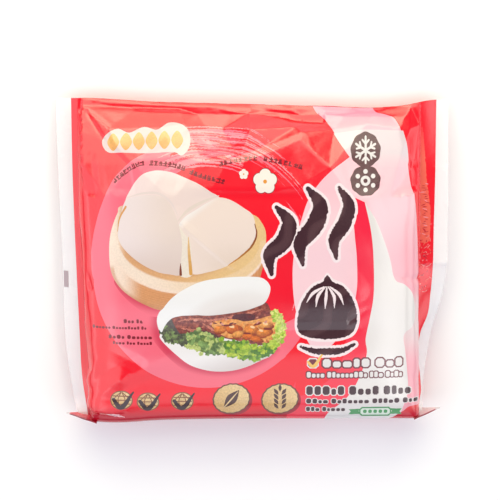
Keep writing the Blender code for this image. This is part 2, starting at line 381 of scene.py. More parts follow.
def fold_height(x, y):
    height = np.zeros_like(x)
    for (x1, y1), (x2, y2), first, last, left, right in FOLDS:
        run = np.array((x2 - x1, y2 - y1), float)
        length = np.hypot(*run)
        t = ((x - x1) * run[0] + (y - y1) * run[1]) / length**2
        side = ((x - x1) * -run[1] + (y - y1) * run[0]) / length
        beyond = np.maximum(np.abs(t - 0.5) - 0.5, 0) * length
        away = np.hypot(side, beyond) / np.where(side > 0, left, right)
        top = first + (last - first) * np.clip(t, 0, 1)
        height += top * np.clip(1 - np.sqrt(away**2 + CREASE_ROUNDING), 0, None)
    return height


def crease_net():
    """The facets of the tucked part, with three corners each, as (x, y, height above the floor)."""
    corners, ends = [], []
    for row in CREASES:
        ends += [(len(corners) + k, len(corners) + k + 1) for k in range(len(row) - 1)]
        corners += row
    corners = np.array(corners, float)
    height = FILM.base(*FILM.film_of_plan(corners[:, 0], corners[:, 1]))[:, 2] + corners[:, 2]
    made = geometry.delaunay_2d_cdt([Vector(p) for p in corners[:, :2]], ends, [], 1, 1e-4, True)
    plan = np.array([tuple(p) for p in made[0]])
    source = [ids[0] for ids in made[3]]
    return np.c_[plan, height[source]][np.array(made[2])]


def facet_height(x, y):
    """Height of the facets above the floor, and whether a place is inside the tucked part."""
    height = np.zeros_like(x)
    found = np.zeros(x.shape, bool)
    for one, two, three in NET:
        whole = (two[0] - one[0]) * (three[1] - one[1]) - (two[1] - one[1]) * (three[0] - one[0])
        u = ((x - one[0]) * (three[1] - one[1]) - (y - one[1]) * (three[0] - one[0])) / whole
        v = ((two[0] - one[0]) * (y - one[1]) - (two[1] - one[1]) * (x - one[0])) / whole
        here = (u >= -1e-9) & (v >= -1e-9) & (u + v <= 1 + 1e-9)
        height = np.where(here, one[2] + u * (two[2] - one[2]) + v * (three[2] - one[2]), height)
        found |= here
    return height, found


NET = crease_net()
FACET_LOW = 41.0


def front_relief(x, y, a, w):
    """Creases, swellings and crumples of the printed side."""
    across, inward = np.abs(x), FLAT_HALF - np.abs(a)
    rows = 0.5 + 0.5 * np.cos(math.tau * (y + 20) / BUN_PITCH)
    columns = np.exp(-(((across - BUN_COLUMN) / BUN_REACH) ** 2))
    swell = BUN_SWELL * rows * columns * ramp(-90, -70, y) * (1 - ramp(20, 70, y))
    foot = 1 - ramp(FILM.front_end - 6, FILM.front_end, w)
    height = (fold_height(x, y) + swell) * ramp(-1, 3, inward) * foot
    facets, found = facet_height(x, y)
    tucked = ramp(FACET_LOW, FACET_LOW + 8, y) * ramp(0, 1, w) * ramp(0, 7, inward)
    height += np.where(found, facets - FILM.base(a, w)[..., 2], 0) * tucked
    height += TUCKED_HEIGHT * crumple(x, y, TOP_CRUMPLE, 9) * tucked
    edge = ramp(82, 104, across) * (1 - 0.5 * ramp(-2, 2, -inward))
    height += SIDE_HEIGHT * crumple(x, y * DRAWN_OUT, SIDE_CRUMPLE, 9) * edge
    crimp = ramp(-1, 1, a - FLAT_HALF) * ramp(-20, -8, y) * (1 - ramp(44, 60, y))
    height += CRIMP_HEIGHT * crumple(x * 1.6, y * 1.6, SIDE_CRUMPLE, 4) * crimp
    return height


def back_relief(x, y, a, w):
    body = ramp(0, 8, FLAT_HALF - np.abs(a))
    return BACK_HEIGHT * crumple(x, y * DRAWN_OUT, SIDE_CRUMPLE, 12) * body


# Print: colours

def srgb(red, green, blue):
    """Linear colour of an sRGB colour in 0 to 255."""
    shown = np.array((red, green, blue), float) / 255
    return np.where(shown <= 0.04045, shown / 12.92, ((shown + 0.055) / 1.055) ** 2.4)


CRIMSON = srgb(253, 0, 28)
# A darker red for painted shade: at the foot, where the film turns under, and in wrinkle marks on the right
# seal
PAINTED_SHADE_RED = srgb(196, 0, 36)
PINK = srgb(255, 108, 130)
PINK_LOW = srgb(255, 112, 130)
STREAK = srgb(255, 150, 160)
PALE_PINK = srgb(255, 203, 212)
BLUSH = srgb(255, 178, 190)
# A salmon for painted sheen on the right seal
PAINTED_SHEEN_SALMON = srgb(255, 112, 88)
SWEEP_TOP = srgb(252, 158, 184)
MILK = srgb(236, 231, 228)
BROWN = srgb(66, 30, 34)
SEAL_BROWN = srgb(84, 20, 28)
HALO = srgb(255, 238, 240)
MAROON = srgb(130, 0, 20)
GOLD = srgb(222, 178, 110)
GOLD_PALE = srgb(240, 208, 152)
GOLD_DARK = srgb(140, 84, 50)
BADGE_INK = srgb(84, 52, 42)
GREEN = srgb(78, 160, 96)
CREAM = srgb(255, 244, 232)
LABEL = srgb(228, 208, 206)
OCHRE = srgb(232, 152, 48)
OCHRE_PALE = srgb(246, 196, 104)


def plain(colour):
    return lambda x, y: np.broadcast_to(colour, (*x.shape, 3))


def mixed(first, second, share):
    return first + (second - first) * np.clip(share, 0, 1)[..., None]


def fade(first, second, start, end):
    """From one colour at start to another at end, along a straight line."""
    run = np.subtract(end, start)
    return lambda x, y: mixed(
        first, second, ((x - start[0]) * run[0] + (y - start[1]) * run[1]) / run.dot(run),
    )


def dome(light, shade, centre, size):
    """A round thing lit from the upper left."""

    def paint(x, y):
        u, v = (x - centre[0]) / size[0], (y - centre[1]) / size[1]
        away = np.hypot(u + 0.28, v - 0.35)
        return mixed(light, shade, ramp(0.35, 1.45, away))

    return paint


# Print: outlines, in plan millimetres

STEP = 0.8


def loop(points):
    """A smooth closed outline through a few points. A point given twice is a corner."""
    at = np.array(points, float)
    slope = (np.roll(at, -1, 0) - np.roll(at, 1, 0)) / 2
    out = []
    for i in range(len(at)):
        j = (i + 1) % len(at)
        gap = np.linalg.norm(at[j] - at[i])
        if gap < 1e-6:
            continue
        t = np.linspace(0, 1, max(int(gap / STEP), 1) + 1)[:-1, None]
        near = at[i] * (1 + 2 * t) * (1 - t) ** 2 + slope[i] * t * (1 - t) ** 2
        far = at[j] * t**2 * (3 - 2 * t) + slope[j] * t**2 * (t - 1)
        out.append(near + far)
    return np.concatenate(out)


def oval(centre, size, turn=0.0, lobes=0, depth=0.0):
    count = max(int(math.tau * max(size) / STEP), 12)
    angle = np.linspace(0, math.tau, count, endpoint=False)
    reach = 1 + depth * np.cos(lobes * angle)
    u, v = size[0] * reach * np.cos(angle), size[1] * reach * np.sin(angle)
    turned = np.stack((u * math.cos(turn) - v * math.sin(turn), u * math.sin(turn) + v * math.cos(turn)), -1)
    return turned + centre


def bar(left, right, middle, height):
    """A bar with round ends."""
    half = height / 2
    turn = np.linspace(-math.pi / 2, math.pi / 2, max(int(height / 0.4), 3))
    cap = np.stack((np.cos(turn), np.sin(turn)), -1) * half
    return np.concatenate((cap + (right - half, middle), (left + half, middle) - cap))


def smooth_line(points, step=0.7):
    """An open smooth line through a few points, and how far along it each of its places is, from 0 to 1."""
    at = np.array(points, float)
    run = run_along(at)
    fine = np.linspace(0, run[-1], max(int(run[-1] / step), 3) + 1)
    columns = [curve(tuple(zip(run, at[:, k])), fine) for k in range(2)]
    return np.stack(columns, -1), fine / run[-1]


def toward(turn):
    """One step in a direction."""
    return np.array((math.cos(turn), math.sin(turn)))


def stroke(points, widths, grow=0.0, rough=0.0, seed=0):
    """The outline of a brush mark along a line, with a width at its start, middle and so on."""
    line, share = smooth_line(points)
    half = curve(tuple(zip(np.linspace(0, 1, len(widths)), widths)), share) / 2 + grow
    noise = np.random.default_rng(seed).normal(0, rough, (2, len(line)))
    ahead = np.gradient(line, axis=0)
    ahead /= np.linalg.norm(ahead, axis=1, keepdims=True)
    side = np.stack((-ahead[:, 1], ahead[:, 0]), -1)
    left = line + side * (half + noise[0])[:, None]
    right = line - side * (half + noise[1])[:, None]
    turn = np.linspace(math.pi / 2, -math.pi / 2, 7)[1:-1, None]
    along, aside = np.cos(turn), np.sin(turn)
    start_cap = line[0] - ahead[0] * along * half[0] - side[0] * aside * half[0]
    end_cap = line[-1] + ahead[-1] * along * half[-1] + side[-1] * aside * half[-1]
    return np.concatenate((left, end_cap, right[::-1], start_cap))


LAYERS = []


def lay(outline, paint, grain=0.0):
    """Adds a field of the print over those before it. The grain is the share of printed fleck in it."""
    if isinstance(paint, np.ndarray):
        paint = plain(paint)
    LAYERS.append((np.asarray(outline, float), paint, grain))


def form(points, paint, grain=0.0):
    lay(loop(points), paint, grain)


def brush(points, widths, paint, grain=0.0, **how):
    lay(stroke(points, widths, **how), paint, grain)


# The red ground, darker towards the foot: a painted shade where the film turns under
def ground(x, y):
    return mixed(CRIMSON, PAINTED_SHADE_RED, ramp(-86, -99, y))


# The pink round, whose lower half is a little flatter than an oval
ROUND = (-28, -4.5)
ROUND_SIZE = (69, 75)
ROUND_FLATTER = 0.053
ROUND_SHOULDER = (
    (-96.8, -8), (-98.3, 6), (-97.1, 17.4), (-94.5, 29.5), (-91.4, 38.6), (-87.7, 47.4), (-83.6, 54.4),
    (-77.4, 60.6), (-71, 65.4), (-62, 69.4), (-50, 72), (-50, 66), (-56, 50), (-66, 30), (-76, 8), (-88, -8),
)

# The pale sweep, the milky band across it, the white form on it and the stripe at its left
SWEEP = (
    (38, 104), (38, 94), (48.3, 81.9), (59.6, 66.1), (59.6, 66.1), (47.9, 57.6), (40.6, 50.6), (34.5, 41.8),
    (30.8, 31.7), (26.6, 14.7), (24.8, -3.7), (26.7, -25.4), (33.6, -44.3), (45, -62), (50, -85), (45, -96),
    (44, -112), (44, -112), (104.5, -112), (104.5, -112), (104.2, -77.8), (103.6, -27), (101.8, 12.4),
    (100.2, 34.2), (98.3, 49.4), (94.1, 70.3), (89.5, 83.5), (82.9, 89.7), (74.9, 93), (74, 104), (74, 104),
    (38, 104),
)
BAND = ((50, 79), (50, 79), (92.5, 80), (92.5, 80), (95.5, 70), (95.6, 61), (86, 60), (68, 61), (59.6, 66))
WHITE_LEFT = (
    (44, -112), (44, -112), (46, -94.7), (57.9, -82.9), (65.8, -70), (70.5, -54), (69.8, -44.5),
    (72.1, -31.9), (74.4, -16.3), (74.2, 5.2), (72.3, 23.5), (68.6, 39.8),
)
WHITE_RIGHT = (
    (68.6, 39.8), (75.3, 29.5), (80.3, 17.3), (84.4, 4.9), (86.4, -4.5), (88.6, -8.8), (93.2, -10.8),
    (97.7, -15.5), (99.6, -21.4), (100.3, -31), (99.9, -35.3), (98, -38.8), (94.8, -40.8), (93.3, -44.6),
    (94.4, -52.3), (95.9, -65.2), (96.7, -78), (94, -88), (89, -104), (88, -112), (88, -112),
)
STRIPE_TOP = ((60.7, 43.4), (60.7, 43.4), (68.6, 39.8))
STRIPE_LEFT = (
    (20, -112), (20, -112), (24, -80), (34, -60), (50, -47), (60, -30), (64, -13), (64, 5), (62.5, 20.7),
)
STRIPE_FOOT = ((28, -64), (34, -60), (50, -47), (58, -36), (54, -62), (40, -76), (28, -80))
RIGHT_CORNER = (
    (84, -99), (87.8, -95.9), (91, -93.6), (94, -91.6), (97.6, -88.8), (103.5, -88.4), (103.5, -88.4),
    (111, -88), (111, -88), (111, -112), (111, -112), (82, -112), (82, -112),
)


def print_fields():
    """The large fields of colour: a brushed pink round at the left and a pale sweep at the right."""
    edge = oval(ROUND, ROUND_SIZE)
    edge[:, 1] -= ROUND_FLATTER * np.minimum(edge[:, 1] - ROUND[1], 0)
    lay(edge, pink_round)
    form(ROUND_SHOULDER, pink_round)
    lay(oval((-8, 14), (66, 54), 0.1), fade(CRIMSON, srgb(250, 8, 40), (0, 40), (0, -30)))
    worn_edge()
    dry_brush()
    form(SWEEP, pale_sweep)
    form(BAND, fade(srgb(234, 217, 221), PALE_PINK, (80, 68), (80, 59)))
    form(WHITE_RIGHT + WHITE_LEFT, fade(MILK, srgb(240, 236, 233), (70, 30), (80, -60)))
    red = fade(srgb(250, 20, 60), srgb(255, 52, 76), (66, 40), (60, -60))
    form(STRIPE_TOP + WHITE_LEFT[::-1] + STRIPE_LEFT, red)
    form(STRIPE_FOOT, CRIMSON)
    # The red corner at the foot darkens downwards: a painted shade where the film turns under
    form(RIGHT_CORNER, fade(srgb(252, 90, 90), srgb(212, 10, 44), (98, -88.5), (97, -94)))
    # A painted glint: a pale streak across the foot at the lower left, standing for light caught by crinkled
    # film
    brush(((-90, -93.4), (-84.5, -94.2), (-79, -95.6)), (0.4, 2.2, 0.4), srgb(255, 190, 196), 1.0, rough=0.2)


def pale_sweep(x, y):
    """The pink of the sweep, stronger under the top seal and nearly white beside the white form's foot."""
    pink = mixed(PALE_PINK, srgb(255, 215, 222), ramp(50, 25, y))
    pink = mixed(pink, BLUSH, ramp(60, 0, y) * ramp(50, 100, x))
    pink = mixed(pink, SWEEP_TOP, ramp(74, 92, y))
    return mixed(pink, MILK, 0.7 * ramp(-14, -26, y) * ramp(88, 96, x) * ramp(-64, -40, y))


def short_mark(place, reach, rough, seed, paint):
    """A pointed mark that reaches as far to both sides of its place."""
    brush((place - reach, place, place + reach), (0.15, 0.5, 0.15), paint, rough=rough, seed=seed)


def seal_painted_sheen():
    """The right seal: a salmon band beside the weld, a painted reflection of its ridge, with short marks
    across it and then fine marks, the painted shade and highlights of wrinkles.
    """
    # The salmon band is a painted reflection, where light catches the ridge beside the weld
    sheen_band = ((104.6, 82), (105.2, 66), (105.8, 50), (107, 34), (107.2, 14))
    sheen_fade = fade(srgb(253, 60, 60), PAINTED_SHEEN_SALMON, (105, 80), (105, 62))
    brush(sheen_band, (1.2, 3.0, 4.2, 6.4, 6.0), sheen_fade, rough=0.15, seed=2)
    made = np.random.default_rng(17)
    # Short dark and pale marks across the band: painted shade and highlights of crinkles
    for k in range(26):
        place = np.array((107 + made.normal(0, 0.8), 48 - 1.3 * k))
        reach = np.array((made.uniform(0.7, 2.0), made.normal(0, 0.3)))
        short_mark(place, reach, 0.05, k, BLUSH if k % 4 == 0 else PAINTED_SHADE_RED)
    # Fine marks lower down: painted shade and highlights of wrinkles
    for k in range(70):
        place = np.array((made.uniform(103.8, 111.4), made.uniform(-20, 20)))
        reach = toward(made.uniform(0, math.pi)) * made.uniform(0.4, 1.5)
        short_mark(place, reach, 0.04, k, (srgb(206, 0, 36), PAINTED_SHEEN_SALMON, srgb(255, 150, 146))[k % 3])


def arc(centre, size, start, end, bow=1.0):
    """Places along an oval from one angle to another, in degrees counted from the right."""
    count = max(int(max(size) * abs(math.radians(end - start)) / 6), 3)
    turn = np.radians(np.linspace(start, end, count))
    return np.stack((centre[0] + size[0] * np.cos(turn), centre[1] + size[1] * bow * np.sin(turn)), -1)


def pink_round(x, y):
    """The pink of the round, a little paler at its foot."""
    return mixed(PINK, PINK_LOW, ramp(60, -70, 0.6 * y - 0.5 * x))


def worn_edge():
    """Streaks of the pink round where the brush ran dry, at the right of the basket."""
    made = np.random.default_rng(12)
    for k in range(26):
        reach = 55 + 15 * made.random()
        start = made.uniform(-34, 16)
        line = arc(ROUND, (reach, reach * 1.05), start, start + made.uniform(8, 30))
        wide = made.uniform(0.5, 2.0)
        brush(line, (0.2, wide, 0.7 * wide, 0.2), (STREAK, PINK, PINK_LOW)[k % 3], rough=0.12, seed=k)


# Broad strokes of the dry brush: reach, start and end in degrees, and width
DRY_STROKES = ((83, 106, 84, 3.6), (78.5, 103, 80, 4.8), (73, 112, 84, 4.2), (68.5, 114, 88, 3.2))


def brush_path(reach, start, end):
    return arc(ROUND, (reach * 0.95, reach), start, end)


def dry_brush():
    """The dry end of a wide brush: broad at its start, with thin streaks where it lifts."""
    made = np.random.default_rng(21)
    for reach, start, end, wide in DRY_STROKES:
        brush(brush_path(reach, start, end), (0.6, wide, wide, 0.5), STREAK, rough=0.3, seed=3)
    for k in range(60):
        reach = 65 + 23 * (k + 0.5) / 60 + made.normal(0, 0.4)
        start = made.uniform(72, 116)
        end = max(start - made.uniform(12, 46), 31 if reach > 74 else 70)
        wide = made.uniform(0.3, 1.4)
        widths = (0.2, wide, 0.8 * wide, 0.4 * wide, 0.15)
        brush(brush_path(reach, start, end), widths, (STREAK, PINK)[k % 2], rough=0.1, seed=k)
    for k in range(30):
        reach = 65 + 20 * made.random()
        start = made.uniform(80, 108)
        line = brush_path(reach, start, start - made.uniform(4, 12))
        brush(line, (0.2, made.uniform(0.4, 1.1), 0.2), srgb(242, 40, 70), rough=0.12, seed=k)


BASKET = (
    (-78.1, 37.9), (-81.9, 33), (-85.5, 23.2), (-87, 13.4), (-86.7, 0.7), (-84.3, -7), (-79.1, -13.9),
    (-71.4, -19.5), (-63, -23.7), (-55.9, -26), (-40, -28), (-22, -26), (-6, -18), (3, -10), (6.5, 0),
    (7.9, 8.4), (8.6, 21), (5.8, 28), (0.2, 32.8), (-20, 38), (-50, 42),
)
BACK_BUN = (
    (-76.6, 36.2), (-76.8, 41.4), (-74.5, 46.2), (-71.1, 51.7), (-66.2, 56.4), (-59.2, 58.5), (-52.2, 58.2),
    (-46.6, 56.9), (-39.6, 53.9), (-32.6, 50.8), (-25.6, 46.4), (-19, 41), (-24, 26), (-42, 18), (-64, 22),
)
RIGHT_BUN = (
    (-21.4, 42.4), (-17.2, 42.6), (-11.6, 40.7), (-5.4, 36.9), (0.2, 32.8), (2, 27.2), (2.8, 21), (0.2, 14),
    (-6.1, 7.7), (-15.2, 1.4), (-25.7, -2.2), (-36.2, -3.4), (-36.6, 6), (-37.5, 16), (-41, 21),
    (-44.1, 25.9), (-43.1, 28.6), (-39.6, 32.1), (-34, 35.5), (-28.4, 39),
)
LEFT_BUN = (
    (-76.3, 41), (-79.6, 33), (-81.6, 24.1), (-80.9, 16.4), (-76.1, 9.5), (-67.7, 2.6), (-57.9, -2.3),
    (-50, -3.9), (-43.6, -4), (-43.2, 4), (-42.4, 14), (-43.4, 22), (-46, 31), (-50, 39), (-56, 43.5),
    (-66, 44),
)


def pictured_basket():
    """A round bamboo basket with three smooth pale buns."""
    shade = ((-84, -8), (-78, -18), (-66, -27.5), (-52, -33), (-38, -34), (-40, -20), (-70, -10))
    form(shade, basket_shadow)
    form(BASKET, basket_side, 0.15)
    form(BACK_BUN, back_bun)
    crease = ((-76, 42.5), (-66, 45.2), (-56, 44.8), (-49.4, 40), (-45, 32))
    brush(crease, (0.4, 1.2, 1.5, 1.2, 0.4), srgb(235, 218, 212))
    brush(((-20, 44), (-29, 40.6), (-40, 34.2), (-45, 28.6)), (0.3, 1.6, 2.0, 0.6), srgb(232, 216, 204))
    between = ((-44, 27), (-40, 22), (-36, 14), (-36, -3.6), (-44.5, -4), (-44, 10), (-45, 20))
    form(between, srgb(244, 232, 216), 0.1)
    form(LEFT_BUN, left_bun)
    form(RIGHT_BUN, right_bun)
    seam = ((-38.6, 19), (-38.3, 10), (-37.6, 2), (-37.2, -3.4))
    golden = fade(srgb(224, 166, 84), srgb(236, 196, 140), (-38, 0), (-38, 18))
    brush(seam, (0.4, 1.5, 1.9, 2.1), golden, 0.2)
    brush(((-43.4, 3), (-43.5, 0), (-43.4, -4)), (0.2, 1.2, 1.6), srgb(132, 66, 44))
    rim = ((1.8, 27), (2.9, 21), (0.2, 14), (-6.1, 7.7), (-14.5, 1.8))
    browned = fade(srgb(140, 74, 36), srgb(206, 140, 60), (0, 20), (-12, 2))
    brush(rim, (0.4, 1.1, 1.2, 0.9, 0.3), browned, rough=0.05)
    brush(((-76.8, 37), (-80.6, 30), (-81.8, 22)), (1.2, 0.9, 0.3), srgb(222, 160, 96))


def basket_shadow(x, y):
    """The pink of the round, darker close under the basket."""
    away = np.hypot((x + 39) / 48, (y - 4) / 31)
    return mixed(srgb(216, 60, 84), pink_round(x, y), ramp(0.96, 1.2, away))


def basket_side(x, y):
    """Golden inside, cream rim and bands of bamboo, one below the other along the curve of the basket."""
    inner = 17 - 25.8 * np.sqrt(np.maximum(1 - ((x + 38.2) / 43.2) ** 2, 0))
    outer = 12.3 - 26.4 * np.sqrt(np.maximum(1 - ((x + 38.2) / 46) ** 2, 0))
    right = ramp(-70, 0, x)
    gold = mixed(srgb(226, 170, 118), srgb(238, 200, 140), right)
    gold = mixed(gold, srgb(190, 118, 74), 0.8 * ramp(2.5, 6, y - inner) * np.exp(-(((x + 52) / 24) ** 2)))
    cream = mixed(srgb(251, 230, 210), srgb(242, 208, 160), right)
    line = 0.5 + 0.5 * np.sin(4.2 * (y - outer) + 0.6 * np.sin(0.25 * x))
    wall = mixed(srgb(228, 164, 112), srgb(206, 136, 82), 0.5 * line + 0.3 * right)
    wall = mixed(srgb(252, 228, 208), wall, ramp(-80, -66, x) * ramp(outer - 1.6, outer - 2.4, y))
    wall = mixed(wall, srgb(204, 140, 92), 0.6 * ramp(outer - 10.5, outer - 13.5, y))
    front = mixed(wall, cream, ramp(outer - 0.6, outer + 0.6, y))
    return mixed(front, gold, ramp(inner - 0.5, inner + 0.7, y) * ramp(-84, -76, x))


def back_bun(x, y):
    pale = mixed(srgb(247, 225, 222), srgb(241, 220, 213), ramp(-70, -48, x))
    return mixed(pale, srgb(250, 238, 234), 0.6 * ramp(52, 58, y + 0.12 * x + 6))


def left_bun(x, y):
    pale = mixed(srgb(243, 228, 226), srgb(236, 218, 208), ramp(-78, -46, x))
    return mixed(pale, srgb(226, 204, 194), 0.8 * ramp(16, -6, y + 0.1 * x + 5))


def right_bun(x, y):
    edge = ramp(2.5, 7, (x + 44) * 0.62 - (y - 26) * 0.78 + 4)
    pale = mixed(srgb(247, 239, 234), srgb(244, 225, 213), edge)
    return mixed(pale, srgb(232, 212, 196), 0.8 * ramp(20, 0, y) * ramp(-38, -10, x))


FOLDED_BODY = (
    (-53.8, -24.7), (-57.1, -28.1), (-58.2, -32.6), (-57.5, -37.1), (-56.1, -40.5), (-56.7, -42.7),
    (-55.1, -45.5), (-51.3, -49.5), (-45.8, -54.6), (-40.4, -59.1), (-34.9, -62), (-26.7, -64.3),
    (-18.4, -64.9), (-10.2, -64), (-1.9, -61.4), (6.3, -57.4), (11.8, -54.5), (14, -48), (8, -36),
    (-20, -28), (-44, -20),
)
FOLDED_TOP = (
    (-53.8, -24.3), (-48.2, -17.8), (-39.7, -12.1), (-29.2, -7.8), (-15.2, -5.7), (-1.2, -5.2), (6.6, -6.2),
    (10.9, -10.5), (10.8, -15.7), (7.9, -21.4), (2.5, -24.1), (-4.6, -26.4), (-15.6, -28.3), (-26.5, -29.4),
    (-37.4, -28.9), (-46.7, -30.3), (-50.5, -32.4), (-53.3, -36), (-55.5, -40), (-57.4, -36), (-57.8, -31),
)
MEAT_PLACE = (
    (-49, -31.5), (-46.7, -29.8), (-26.5, -28.6), (-4.6, -25.8), (7.5, -21), (11.5, -26), (13.9, -34),
    (12.4, -46), (3.6, -48), (-10, -45), (-25, -42.5), (-41, -42), (-46, -38),
)
GLAZE_PLACE = (
    (-25, -34.5), (-17.8, -32), (-10, -31.8), (-4, -33), (4, -31.6), (13, -29.5), (14.5, -36), (13.4, -42.5),
    (9, -46.5), (2, -45.5), (-6, -43.5), (-14, -43.5), (-20, -40.5),
)
LEAF_TOP = (
    (-53.3, -35.4), (-48.4, -39.7), (-40.2, -42), (-32, -39), (-25.5, -42), (-18.3, -45), (-12.9, -45.4),
    (-4.7, -46), (3.6, -49), (11.2, -47), (14.4, -41), (15.2, -35.3), (13.4, -30.8), (12.2, -26.5),
)
LEAF_LOW = (
    (-55.4, -40.5), (-53, -43.3), (-48.5, -46.2), (-43, -47.6), (-37.5, -49.6), (-33.2, -51.3),
    (-28.8, -52.8), (-23.9, -53.8), (-16.4, -53.6), (-9.4, -55.2), (-1.9, -56), (8, -54.4), (14.6, -49.6),
    (19, -43), (19.4, -38), (17.6, -31.6), (14.4, -25.6),
)


def pictured_folded_bun():
    """One folded bun, open at the lower right, with braised slices on a frill of lettuce."""
    shade = ((-61, -30), (-62, -42), (-50, -57), (-36, -67), (-19, -71), (-2, -68.5), (12, -61), (16, -50))
    form(shade, bun_shadow)
    form(FOLDED_BODY, fade(srgb(247, 243, 242), srgb(222, 212, 209), (-24, -54), (-19, -67)))
    form(((-53.6, -35), (-49, -30.6), (-45, -31), (-38, -42), (-44, -47), (-54, -42)), srgb(92, 84, 76), 0.5)
    filling()
    lettuce()
    form(FOLDED_TOP, folded_top)


def bun_shadow(x, y):
    """The pink of the round, darker close under the folded bun."""
    away = np.hypot((x + 20) / 38.5, (y + 36) / 29)
    return mixed(srgb(222, 66, 92), pink_round(x, y), ramp(0.99, 1.15, away))


def folded_top(x, y):
    """The smooth upper half of the folded bun, greyer where it rolls under."""
    middle = -15 - 0.012 * (x + 4) ** 2
    shade = mixed(srgb(250, 249, 248), srgb(242, 237, 234), ramp(5, -4, y - middle))
    return mixed(shade, srgb(226, 217, 213), 0.8 * ramp(-4, -14, y - middle))


def frill(share):
    """Greens of the lettuce: dull and dark at the left, bright at the right."""
    if share < 0.18:
        return srgb(96, 100, 74), srgb(128, 148, 92), srgb(80, 80, 66)
    if share < 0.42:
        return srgb(140, 172, 100), srgb(192, 206, 122), srgb(98, 124, 70)
    if share < 0.76:
        return srgb(146, 184, 46), srgb(192, 212, 66), srgb(86, 132, 42)
    return srgb(196, 218, 84), srgb(226, 230, 128), srgb(160, 196, 62)


def lettuce():
    """Rows of small frilled leaves on a dull ground, from the back row to the front one."""
    made = np.random.default_rng(8)
    top, low = smooth_line(LEAF_TOP)[0], smooth_line(LEAF_LOW)[0]
    dull = fade(srgb(88, 100, 64), srgb(150, 184, 70), (-50, -44), (10, -44))
    lay(np.concatenate((top, low[::-1])), dull, 0.6)
    count_along = 200
    top, low = (line[np.linspace(0, len(line) - 1, count_along).astype(int)] for line in (top, low))
    for depth, count, big in ((0.95, 46, 2.3), (0.62, 42, 2.6), (0.3, 44, 2.2), (0.02, 40, 1.7)):
        for k in range(count):
            share = (k + made.uniform(0.2, 0.8)) / count
            i = int(share * (count_along - 1))
            place = top[i] + (low[i] - top[i]) * (depth + made.normal(0, 0.08))
            size = big * made.uniform(0.6, 1.15), big * made.uniform(0.5, 0.95)
            greens = frill(share)
            first, second = greens[made.integers(3)], greens[made.integers(3)]
            lay(oval(place, size, made.uniform(0, 3), 5, 0.18), dome(first, second, place, size), 0.7)


def mottled(first, second, third, pitch):
    """Three colours that run into each other like a glaze."""

    def paint(x, y):
        one = 0.5 + 0.5 * np.sin(pitch * (x + 1.7 * y) + 2.1 * np.sin(0.7 * pitch * (y - 0.6 * x)))
        two = 0.5 + 0.5 * np.sin(1.3 * pitch * (y - 0.8 * x) + 1.9 * np.sin(0.9 * pitch * x))
        return mixed(mixed(first, second, one), third, 0.7 * two)

    return paint


# The pale rims of the slices, then the glazed pieces with the glints and the dark gaps on them, as (x, y,
# half width, half height)
SLICE_RIMS = (
    ((-45, -33), (-36, -31.5), (-26, -32.5), (-15, -31), (-4, -28.6), (8, -25)),
    ((-43, -37.5), (-36, -38.6), (-30, -36.6)),
    ((-30, -34.4), (-25, -37.6), (-21, -41)),
)
GLAZED = (
    (-19, -38.2, 4.6, 2.6), (-11, -37.8, 5.2, 3.2), (-8, -41.4, 4.6, 2.4), (0, -38.6, 5.4, 3.4),
    (-2, -42.6, 4.2, 2.0), (8.4, -35.6, 5.0, 2.6), (7.6, -40.4, 5.2, 3.0), (3, -44.4, 4.2, 1.9),
    (11, -44.2, 2.8, 2.0),
)
GLINTS = (
    (-12.4, -36.2, 1.8, 1.0), (8.2, -34.4, 1.7, 0.9), (0.4, -36.6, 1.5, 0.8), (5.6, -38.8, 1.4, 0.7),
)
GAPS = ((-15, -35.6, 3.4, 0.6), (3.6, -34.6, 2.6, 0.8), (9.8, -37.8, 2.8, 0.7), (-3, -40.6, 2.4, 0.6))


def filling():
    """Braised slices at the back, and glazed pieces in front of them at the right."""
    made = np.random.default_rng(4)
    form(MEAT_PLACE, mottled(srgb(176, 96, 74), srgb(140, 66, 52), srgb(122, 56, 56), 0.8), 1.0)
    for k, line in enumerate(SLICE_RIMS):
        widths = (0.5,) + (1.5,) * (len(line) - 2) + (0.5,)
        brush(line, widths, srgb(204, 124, 100), 1.0, rough=0.25, seed=k)
    form(((-12, -30), (-4, -28), (2, -29.5), (0, -33), (-8, -33.5)), srgb(98, 50, 52), 0.8)
    form(((-40, -41), (-30, -38.8), (-22, -41.5), (-20, -44.6), (-32, -44)), srgb(96, 62, 58), 0.6)
    form(GLAZE_PLACE, mottled(srgb(240, 158, 80), srgb(222, 120, 48), srgb(250, 186, 110), 0.7), 0.7)
    for k, (*place, wide, tall) in enumerate(GLAZED):
        shade = (srgb(238, 142, 56), srgb(228, 118, 40), srgb(246, 170, 84))[k % 3]
        outline = oval(place, (wide, tall), made.uniform(-0.45, 0.35), 3, 0.08)
        lay(outline, dome(shade, srgb(150, 58, 26), place, (wide, tall)), 0.8)
    for *place, wide, tall in GLINTS:
        lay(oval(place, (wide, tall), -0.3), srgb(255, 214, 158))
    for *place, wide, tall in GAPS:
        lay(oval(place, (wide, tall), made.uniform(-0.4, 0.4)), srgb(128, 44, 28))
    for k in range(14):
        place = made.uniform(-44, 10), made.uniform(-36, -30)
        size = made.uniform(0.6, 1.6), made.uniform(0.4, 0.8)
        lay(oval(place, size, made.uniform(-0.9, 0.9)), (srgb(110, 48, 48), srgb(222, 150, 130))[k % 2], 0.6)


STEAM_MARKS = (
    (((15, 37), (22.5, 28), (19.5, 17), (11, 8), (12, -4)), (2.5, 8.5, 10, 8, 2)),
    (((34, 48), (41.5, 38), (38, 26), (29.5, 15), (31, 2)), (2.5, 9, 10.5, 8.5, 2)),
    (((53, 48.5), (59, 38), (56, 27), (50, 17), (51.5, 6)), (2, 7, 8.5, 7, 2)),
)
BUN_MARK = (
    (29, -40), (28, -31), (31, -20), (37, -11.5), (43, -8.5), (46, -4.5), (49.5, -8.3), (56, -11.5),
    (62, -20), (64.5, -31), (62, -40), (55, -43.4), (46, -44.2), (37, -43.6),
)
PLATE_MARK = (((30, -49), (38, -51.6), (47, -52), (56, -51), (63, -47.5)), (1.5, 3.6, 4.2, 3.6, 1.5))
PALE_EDGE = 1.7


